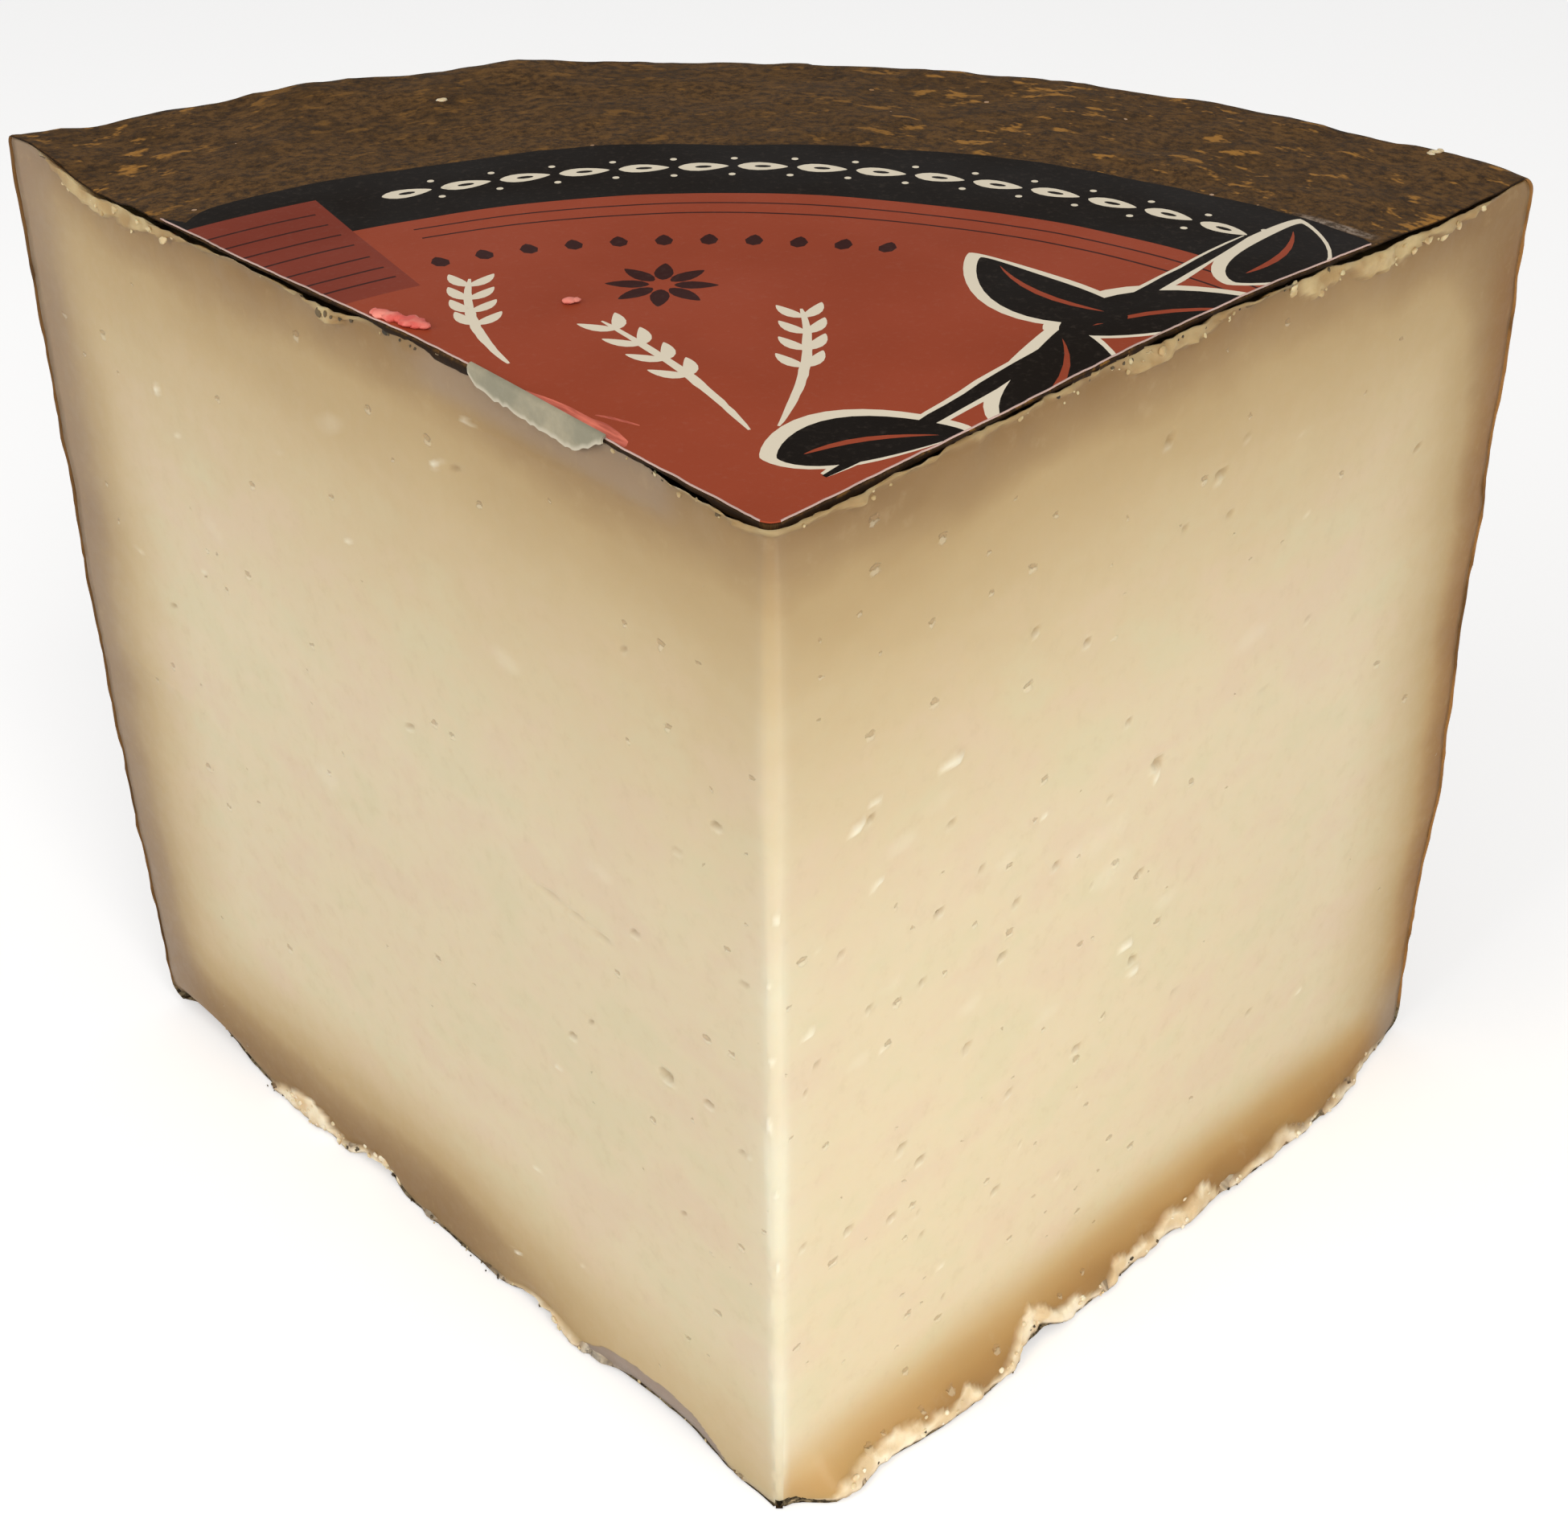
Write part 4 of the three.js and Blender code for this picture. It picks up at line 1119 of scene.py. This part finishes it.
def spray():
    """Broad black leaves with cream outlines and red veins on a stem, cut off at the right cut."""
    shapes = [("cream", stroke((3.4, 6.8), (19, 24), (37, 48), 2.6, 3))]
    for (x, y), length, width, turn, bend in spray_leaves:
        shapes.append(("cream", leaf((x - 0.35, y + 0.3), length + 1.7, width + 1.5, turn, bend)))
    shapes.append(("black", stroke((3.4, 6.6), (19, 24), (37, 48), 1.5, 4)))
    for at, length, width, turn, bend in spray_leaves:
        shapes.append(("black", leaf(at, length, width, turn, bend)))
        shapes.append(("red", leaf(at, 0.72 * length, 0.62, turn, 0.75 * bend, 20)))
    return shapes


def stalks():
    """Three cream stalks with ears, in brush strokes, the left one cut off at the left cut."""
    shapes = []
    for number, line in enumerate(stalk_lines):
        shapes.append(("cream", stroke(*line, 0.8, number)))
        (x, y), (end_x, end_y) = line[1:]
        heading = np.degrees(np.arctan2(end_y - y, end_x - x))
        for step in range(4):
            at = on_curve(0.46 + 0.15 * step, *line)
            for side in (-1, 1):
                turn = heading + side * ear_turn
                out = ear_out * np.array([np.cos(np.radians(turn)), np.sin(np.radians(turn))])
                shapes.append(("cream", leaf(at + out, 3.1, 1.1, turn, side * 0.2, 16)))
    return shapes


def bare_paper():
    """Where the print came off with the paper's face: a strip beside the flap and a scratch, and
    the white edges that the knife left."""
    s = stations(14.6, (25.5, 0.4))
    share = (s - s[0]) / (s[-1] - s[0])
    wide = 1.8 * share**0.35 * (1 - share) ** 0.9 * (1 + 0.3 * lumps(s, 0, 0, 1.2))
    strip = np.vstack([beside_cut(left, s, 0.1), beside_cut(left, s, 0.3 + wide)[::-1]])
    scratch = stroke((-12.6, 14.9), (-11.2, 14.6), (-9.4, 13.6), 0.3, 7)
    shapes = [("torn", strip), ("torn", scratch)]
    for cut in (left, right):
        outer, inner = (label_edge(cut, label_inset + back) for back in (-edge_overlap, edge_width))
        shapes.append(("bare", np.vstack([outer, inner[::-1]])))
    return shapes


def printed_shapes():
    """The print, bottom layer first: (ink, outline)."""
    return [("red", label_outline()), *fields(), *beads(), *flower(), *spray(), *stalks(), *bare_paper()]


def sharpen_rim(piece):
    """Marks the edges of a sheet that only one face uses as sharp, so its thin sides shade flat."""
    used = np.empty(len(piece.data.loops), np.int32)
    piece.data.loops.foreach_get("edge_index", used)
    piece.data.edges.foreach_set("use_edge_sharp", np.bincount(used) == 1)


def thicken(piece, thickness):
    """Gives a sheet its thickness in millimetres, inwards from its outer face."""
    modifier = piece.modifiers.new("paper thickness", "SOLIDIFY")
    modifier.thickness = thickness * 0.001
    modifier.offset = -1


def label_mesh(inks):
    """The print's outlines cut into one sheet of triangles, which is then laid over the top."""
    shapes = printed_shapes()
    low, high = shapes[0][1].min(0), shapes[0][1].max(0)
    draw = np.random.default_rng(5)
    ticks = [np.arange(a, b, label_mesh_size) for a, b in zip(low, high)]
    inner = np.stack(np.meshgrid(*ticks), -1).reshape(-1, 2)
    inner = inner + draw.uniform(-0.3, 0.3, inner.shape)
    points, rings = [], []
    for _, outline in shapes:
        ring = list(range(len(points), len(points) + len(outline)))
        x, y = outline.T
        turns_left = np.sum(x * np.roll(y, -1) - y * np.roll(x, -1)) > 0
        rings.append(ring if turns_left else ring[::-1])
        points.extend(Vector(place) for place in outline.tolist())
    points.extend(Vector(place) for place in inner.tolist())
    flat, _, triangles, _, _, owners = delaunay_2d_cdt(points, [], rings, 1, 1e-4)
    kept_triangles = [(ring, max(owner)) for ring, owner in zip(triangles, owners) if 0 in owner]
    flat = np.array([tuple(place) for place in flat])
    used = np.unique([index for ring, _ in kept_triangles for index in ring])
    renumber = np.full(len(flat), -1)
    renumber[used] = np.arange(len(used))
    x, y = flat[used].T
    waves = layered(x, y, label_waves_level, label_waves)
    z = top_height(x, y) + label_lift + paper + waves * smooth(np.hypot(x, y), 4, 12)
    faces = [renumber[list(ring)] for ring, _ in kept_triangles]
    piece = mesh_piece("label", to_part(x, y, z), faces)
    order = {ink: number for number, ink in enumerate(inks)}
    numbers = np.array([order[shapes[owner][0]] for _, owner in kept_triangles], np.int32)
    piece.data.polygons.foreach_set("material_index", numbers)
    return piece


def paper_material(name, ink, worn=None, roughness=0.45):
    """Printed or bare paper: the ink with a slight cloud, paper fibres and a soft low gloss."""
    material, tree, shader, place = new_material(name)
    cloud = noise(tree, place, 12, 3)
    fibres = noise(tree, place, 0.35, 3, 0.7)
    worn = ink if worn is None else worn
    colour = blend(tree, spread(tree, cloud, 0.35, 0.7, 0.0, 0.5), ink, worn)
    colour = coats(tree, colour, (spread(tree, fibres, 0.5, 0.85, 0.0, 0.04), (214, 190, 170)))
    rough = spread(tree, cloud, 0.3, 0.7, roughness - 0.05, roughness + 0.08)
    finish_shader(tree, shader, colour, rough, [(cloud, 0.12, 0.8), (fibres, 0.12, 0.08)])
    shader.inputs["Specular IOR Level"].default_value = 0.04
    return material


def torn_print_material():
    """Coral paper under the torn print, in streaks along the left cut."""
    material, tree, shader, place = new_material("torn print")
    turned_place = turned_about(tree, place, (0, 0, -half_angle))
    streaks = noise(tree, on_vector(tree, "MULTIPLY", turned_place, (1, 0.18, 1)), 0.5, 3, 0.6)
    colour = blend(tree, spread(tree, streaks, 0.3, 0.7), tone(176, 74, 52), tone(246, 130, 104))
    finish_shader(tree, shader, colour, spread(tree, streaks, 0, 1, 0.6, 0.8), [(streaks, 0.5, 0.15)])
    return material


inks = {
    "red": paper_material("red print", tone(163, 72, 45), tone(146, 64, 40)),
    "black": paper_material("black print", tone(20, 12, 5), tone(26, 18, 10)),
    "light red": paper_material("light red print", tone(138, 59, 41), tone(120, 51, 36)),
    "cream": paper_material("unprinted paper", tone(236, 224, 200)),
    "dark": paper_material("brown print", tone(58, 26, 22)),
    "torn": torn_print_material(),
    "bare": paper_material("cut paper", tone(206, 176, 166), tone(168, 148, 138), 0.65),
}
label = label_mesh(inks)
sharpen_rim(label)
for ink in inks.values():
    label.data.materials.append(ink)
thicken(label, paper)
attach(label, "root")
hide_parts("label")

# Part of the label's white backing tore loose at the left cut and hangs over it, grey where it is
# damp from the cheese and whiter along its frayed lower edge.
backing = 0.18  # its thickness, with its loose fibres
over_edge, edge_bend, flap_gap, flap_lift = 0.06, 0.2, 0.05, 0.02
# How far it hangs down: distances from the point, then depths.
flap_drops = (
    (16.4, 17, 17.9, 18.8, 20, 24, 27, 29, 30.6, 31.5),
    (0.2, 0.5, 1.2, 1.4, 1.9, 1.7, 1.6, 1.5, 1.1, 0.2),
)


def flap_mesh():
    """A strip in rows along the cut: each column runs from the label over the edge and down."""
    s = stations(flap_from, (flap_to, 0.25))[None, :]
    run = np.linspace(0, 1, 15)[:, None]
    drop = np.interp(s, *flap_drops) + 0.2 * lumps(s, 0, 0, 1.3) + 0.16 * lumps(s, 0, 0, 0.5)
    path = over_edge + np.pi / 2 * edge_bend + np.clip(drop, 0.2, None)
    t = run * path
    angle = np.clip((t - over_edge) / edge_bend, 0, np.pi / 2)
    down = np.clip(t - over_edge - np.pi / 2 * edge_bend, 0, None)
    out = -over_edge + np.minimum(t, over_edge) + edge_bend * np.sin(angle)
    out = out + 0.12 * lumps(s, down, 3, 2.2) * run + flap_gap
    fall = edge_bend * (1 - np.cos(angle)) + down
    x, y = np.moveaxis(beside_cut(left, s, -out), -1, 0)
    edge_x, edge_y = (part * s for part in cut_direction(left))
    z = top_height(edge_x, edge_y) + label_lift + paper + flap_lift - fall
    faces = grid_faces(*z.shape, closed=False)[:, [0, 3, 2, 1]]
    frayed = smooth(run * path, path - 0.5, path - 0.05)
    return mesh_piece("label_flap", to_part(x, y, z), faces, {"frayed": frayed.reshape(-1, 1)})


def flap_material():
    """Damp grey paper, whiter where its fibres fray."""
    material, tree, shader, place = new_material("torn backing")
    cloud, fibres = noise(tree, place, 2.2, 4, 0.6), noise(tree, place, 0.4, 3, 0.7)
    colour = blend(tree, spread(tree, cloud, 0.35, 0.7), tone(142, 137, 115), tone(168, 158, 132))
    colour = coats(tree, colour, (times(tree, kept(tree, "frayed"), 0.7), (212, 202, 180)))
    roughness = spread(tree, fibres, 0.3, 0.7, 0.55, 0.75)
    finish_shader(tree, shader, colour, roughness, [(cloud, 0.3, 0.3), (fibres, 0.3, 0.12)])
    return material


flap = flap_mesh()
sharpen_rim(flap)
flap.data.materials.append(flap_material())
thicken(flap, backing)
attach(flap, "root")

# Crumbs broke off where the knife went through: cream ones of paste along both edges of the cuts,
# dark ones of rind beside them, and a few pink scraps of the label's torn face.
# Rows of them: (cut, edge, from, to, count, smallest, largest).
crumb_rows = (
    (left, "top", 72, 92, 14, 0.25, 0.9), (left, "top", 3, 70, 12, 0.2, 0.5),
    (right, "top", 34, 48, 7, 0.3, 0.9), (right, "top", 56, 63, 6, 0.3, 1.2),
    (right, "top", 66, 83, 12, 0.3, 1.1), (right, "top", 2, 56, 12, 0.2, 0.5),
    (left, "bottom", 2, 98, 24, 0.2, 0.5),
)
pale_crumb_rows = (
    (right, "bottom", 6, 62, 34, 0.3, 0.9), (right, "bottom", 62, 88, 14, 0.25, 0.8),
    (left, "bottom", 66, 77, 22, 0.3, 1.2), (left, "bottom", 57, 64, 12, 0.3, 1.1),
    (left, "bottom", 27, 36, 5, 0.3, 0.9),
)
rind_bit_rows = (
    (left, "top", 30, 50, 16, 0.2, 0.6), (left, "top", 3, 50, 12, 0.2, 0.4),
    (right, "top", 20, 66, 12, 0.2, 0.5), (right, "bottom", 2, 70, 14, 0.2, 0.6),
    (left, "bottom", 27, 98, 26, 0.2, 0.6),
)
loose_places, loose_sizes = ((-33, 81.9), (56.2, 69.2), (56.7, 69.6), (57.2, 70.0)), (0.9, 0.8, 0.9, 0.7)
scrap_middle, scrap_reach, lone_scraps = (-28.6, 29.9), (2.0, -1.3), ((-16.3, 33.7), (-15.8, 33.9))
scrap_sizes = np.array([1.1, 1.5, 1.2, 1.6, 1.3, 1.2, 1.5, 1.3, 1.0, 0.9, 0.7])


def unit_ball():
    """The corners and triangles of a ball of 80 faces."""
    ball = bmesh.new()
    bmesh.ops.create_icosphere(ball, subdivisions=2, radius=1)
    places = np.array([tuple(vertex.co) for vertex in ball.verts])
    faces = np.array([[vertex.index for vertex in face.verts] for face in ball.faces])
    ball.free()
    return places, faces


def crumbs_mesh(name, centres, sizes, normals, seed, flat=0.5):
    """Each crumb is a ball pressed flat along its surface's normal, stretched, turned and lumpy."""
    draw = np.random.default_rng(seed)
    ball, faces = unit_ball()
    count = len(centres)
    normals = normals / np.linalg.norm(normals, axis=1, keepdims=True)
    helper = draw.normal(size=(count, 3))
    first = np.cross(normals, helper)
    first /= np.linalg.norm(first, axis=1, keepdims=True)
    second = np.cross(normals, first)
    stretch = draw.uniform(0.7, 1.35, (count, 2))
    half = 0.5 * sizes[:, None]
    body = ball[None] * np.stack([half * stretch[:, :1], half * stretch[:, 1:], half * flat], -1)
    place = ball[None] * 1.4 + draw.uniform(0, 500, (count, 1, 3))
    body = body * (1 + 0.34 * lumps(*np.moveaxis(place, -1, 0), 1.0))[..., None]
    basis = np.stack([first, second, normals], 1)
    places = centres[:, None] + np.einsum("cvk,ckj->cvj", body, basis)
    faces = faces[None] + (np.arange(count) * len(ball))[:, None, None]
    return mesh_piece(name, places.reshape(-1, 3), faces.reshape(-1, 3))


def along_edges(rows, seed, spread_in):
    """Crumb places along the cuts' edges: at a random depth below the edge, half in the paste."""
    draw = np.random.default_rng(seed)
    centres, sizes, normals = [], [], []
    for cut, edge, start, end, count, smallest, largest in rows:
        s = draw.uniform(start, end, count)
        size = mix(smallest, largest, draw.random(count) ** 2.2)
        x, y = (part * s for part in cut_direction(cut))
        if edge == "top":
            wide = np.interp(s, *torn_top[cut])
            z = rind_height(x, y) - rind_thickness * 0.8 - draw.random(count) * wide * spread_in
        else:
            wide = np.interp(s, *torn_bottom[cut])
            z = edge_rise(cut, s) + size * 0.7 + draw.random(count) * wide * spread_in
        x, y, relief, *_ = cut_face(cut, s, z)
        nx, ny = cut_normal(cut)
        centres.append(to_part(x + nx * relief, y + ny * relief, z))
        sizes.append(size)
        normals.append(np.stack([nx + 0 * s, ny + 0 * s, draw.normal(0.2, 0.3, count)], -1))
    return (np.concatenate(parts) for parts in (centres, sizes, normals))


def on_top(places, lift):
    """Places on the top of the wedge, raised by a little, and the normals of things that lie there."""
    x, y = np.array(places, float).T
    return to_part(x, y, rind_height(x, y) + lift), np.tile([0, 0, 1.0], (len(x), 1))


def crumb_material(name, low, high, roughness, subsurface=0.0):
    """Dry broken grain between two screen colours."""
    material, tree, shader, place = new_material(name)
    grain = use(tree, crumb_grain, {"Vector": place, "Clot": 0.9, "Grit": 0.25})
    colour = blend(tree, grain["Mask"], tone(*low), tone(*high))
    rough = spread(tree, grain["Mask"], 0, 1, roughness, roughness + 0.15)
    finish_shader(tree, shader, colour, rough, [(grain["Height"], 0.6, 0.3)])
    shader.inputs["Subsurface Weight"].default_value = subsurface
    shader.inputs["Subsurface Scale"].default_value = 0.002
    return material


crumbs = crumbs_mesh("paste_crumbs", *along_edges(crumb_rows, 11, 0.95), 12)
crumbs.data.materials.append(crumb_material("dry crumb", (186, 156, 108), (222, 200, 156), 0.6, 0.15))
centres, sizes, normals = along_edges(pale_crumb_rows, 17, 0.85)
loose, upright = on_top(loose_places, 0.05)
centres, normals = np.vstack([centres, loose]), np.vstack([normals, upright])
pale_crumbs = crumbs_mesh("pale_crumbs", centres, np.concatenate([sizes, loose_sizes]), normals, 18)
pale_crumbs.data.materials.append(crumb_material("pale crumb", (224, 196, 154), (250, 234, 206), 0.6, 0.15))
rind_bits = crumbs_mesh("rind_crumbs", *along_edges(rind_bit_rows, 13, 0.25), 14)
rind_bits.data.materials.append(crumb_material("rind crumb", (52, 44, 30), (104, 88, 62), 0.7))
scrap_line = np.array(scrap_middle) + np.linspace(-1, 1, 9)[:, None] * np.array(scrap_reach)
centres, normals = on_top(np.vstack([scrap_line, lone_scraps]), 0.45)
scraps = crumbs_mesh("label_scraps", centres, scrap_sizes, normals, 15, 0.45)
scraps.data.materials.append(crumb_material("torn print scrap", (226, 96, 84), (246, 150, 132), 0.6))
for piece, slot in ((crumbs, "cheese"), (pale_crumbs, "cheese"), (rind_bits, "cheese"), (scraps, "label")):
    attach(piece, "root")

# The studio: a plain pale floor, soft light from above and behind the camera, and the camera at
# the place where it stood, close above the point of the wedge and looking down on it.
floor_size, floor_drop, floor_glow = 3, 0.0001, 0.3
sky_light, sky_seen = 0.46, 0.6  # its strength, and what the camera sees beyond that
bpy.ops.mesh.primitive_plane_add(size=floor_size, location=(0, 0, -floor_drop))
floor = bpy.context.object
floor.name = "floor"
floor_material, floor_tree, floor_shader, _ = new_material("studio floor")
floor_shader.inputs["Base Color"].default_value = tone(250, 250, 250)
floor_shader.inputs["Roughness"].default_value = 0.9
floor_shader.inputs["Emission Color"].default_value = (1, 1, 1, 1)
seen_by_camera = add(floor_tree, "LightPath").outputs["Is Camera Ray"]
floor_tree.links.new(times(floor_tree, seen_by_camera, floor_glow), floor_shader.inputs["Emission Strength"])
floor.data.materials.append(floor_material)

world = bpy.data.worlds.new("studio")
world.use_nodes = True
sky = world.node_tree
seen = add(sky, "LightPath").outputs["Is Camera Ray"]
strength = calculate(sky, "ADD", sky_light, times(sky, seen, sky_seen))
sky.links.new(strength, sky.nodes["Background"].inputs["Strength"])
sky.nodes["Background"].inputs["Color"].default_value = (1, 1, 1, 1)
bpy.context.scene.world = world
bpy.context.scene.view_settings.view_transform = "Standard"


def area_light(name, place, target, size, power, colour):
    light = bpy.data.lights.new(name, "AREA")
    light.size, light.energy, light.color = size, power, colour
    made = bpy.data.objects.new(name, light)
    bpy.context.scene.collection.objects.link(made)
    made.location = place
    made.rotation_euler = (Vector(target) - Vector(place)).to_track_quat("-Z", "Y").to_euler()


area_light("key", (0.25, -0.75, 0.75), (0, 0, 0.04), 0.5, 4.0, (1.0, 0.97, 0.93))
area_light("fill", (-0.7, -0.5, 0.4), (0, 0, 0.04), 0.6, 2.8, (0.99, 0.97, 0.95))
area_light("foot", (0.075, -0.135, 0.008), (0.014, -0.045, 0.008), 0.04, 0.045, (1.0, 0.96, 0.88))
area_light("low", (0.17, -0.2, 0.014), (0.04, -0.02, 0.012), 0.1, 0.07, (1.0, 0.97, 0.92))

camera_place = (0.00547, -0.1917, 0.1683)
pitch, yaw, roll = np.radians((33.526, -2.102, -1.299))
sensor_width, lens = 36, 53.91
forward = np.array([np.sin(yaw) * np.cos(pitch), np.cos(yaw) * np.cos(pitch), -np.sin(pitch)])
level = np.cross(forward, (0, 0, 1))
level /= np.linalg.norm(level)
upward = np.cross(level, forward)
camera_x = np.cos(roll) * level + np.sin(roll) * upward
camera_y = np.cos(roll) * upward - np.sin(roll) * level
camera = bpy.data.objects.new("camera", bpy.data.cameras.new("camera"))
bpy.context.scene.collection.objects.link(camera)
camera.matrix_world = Matrix.Translation(camera_place) @ Matrix(
    np.stack([camera_x, camera_y, -forward], -1).tolist()).to_4x4()
camera.data.sensor_width, camera.data.lens = sensor_width, lens
camera.data.clip_start = 0.01
bpy.context.scene.camera = camera
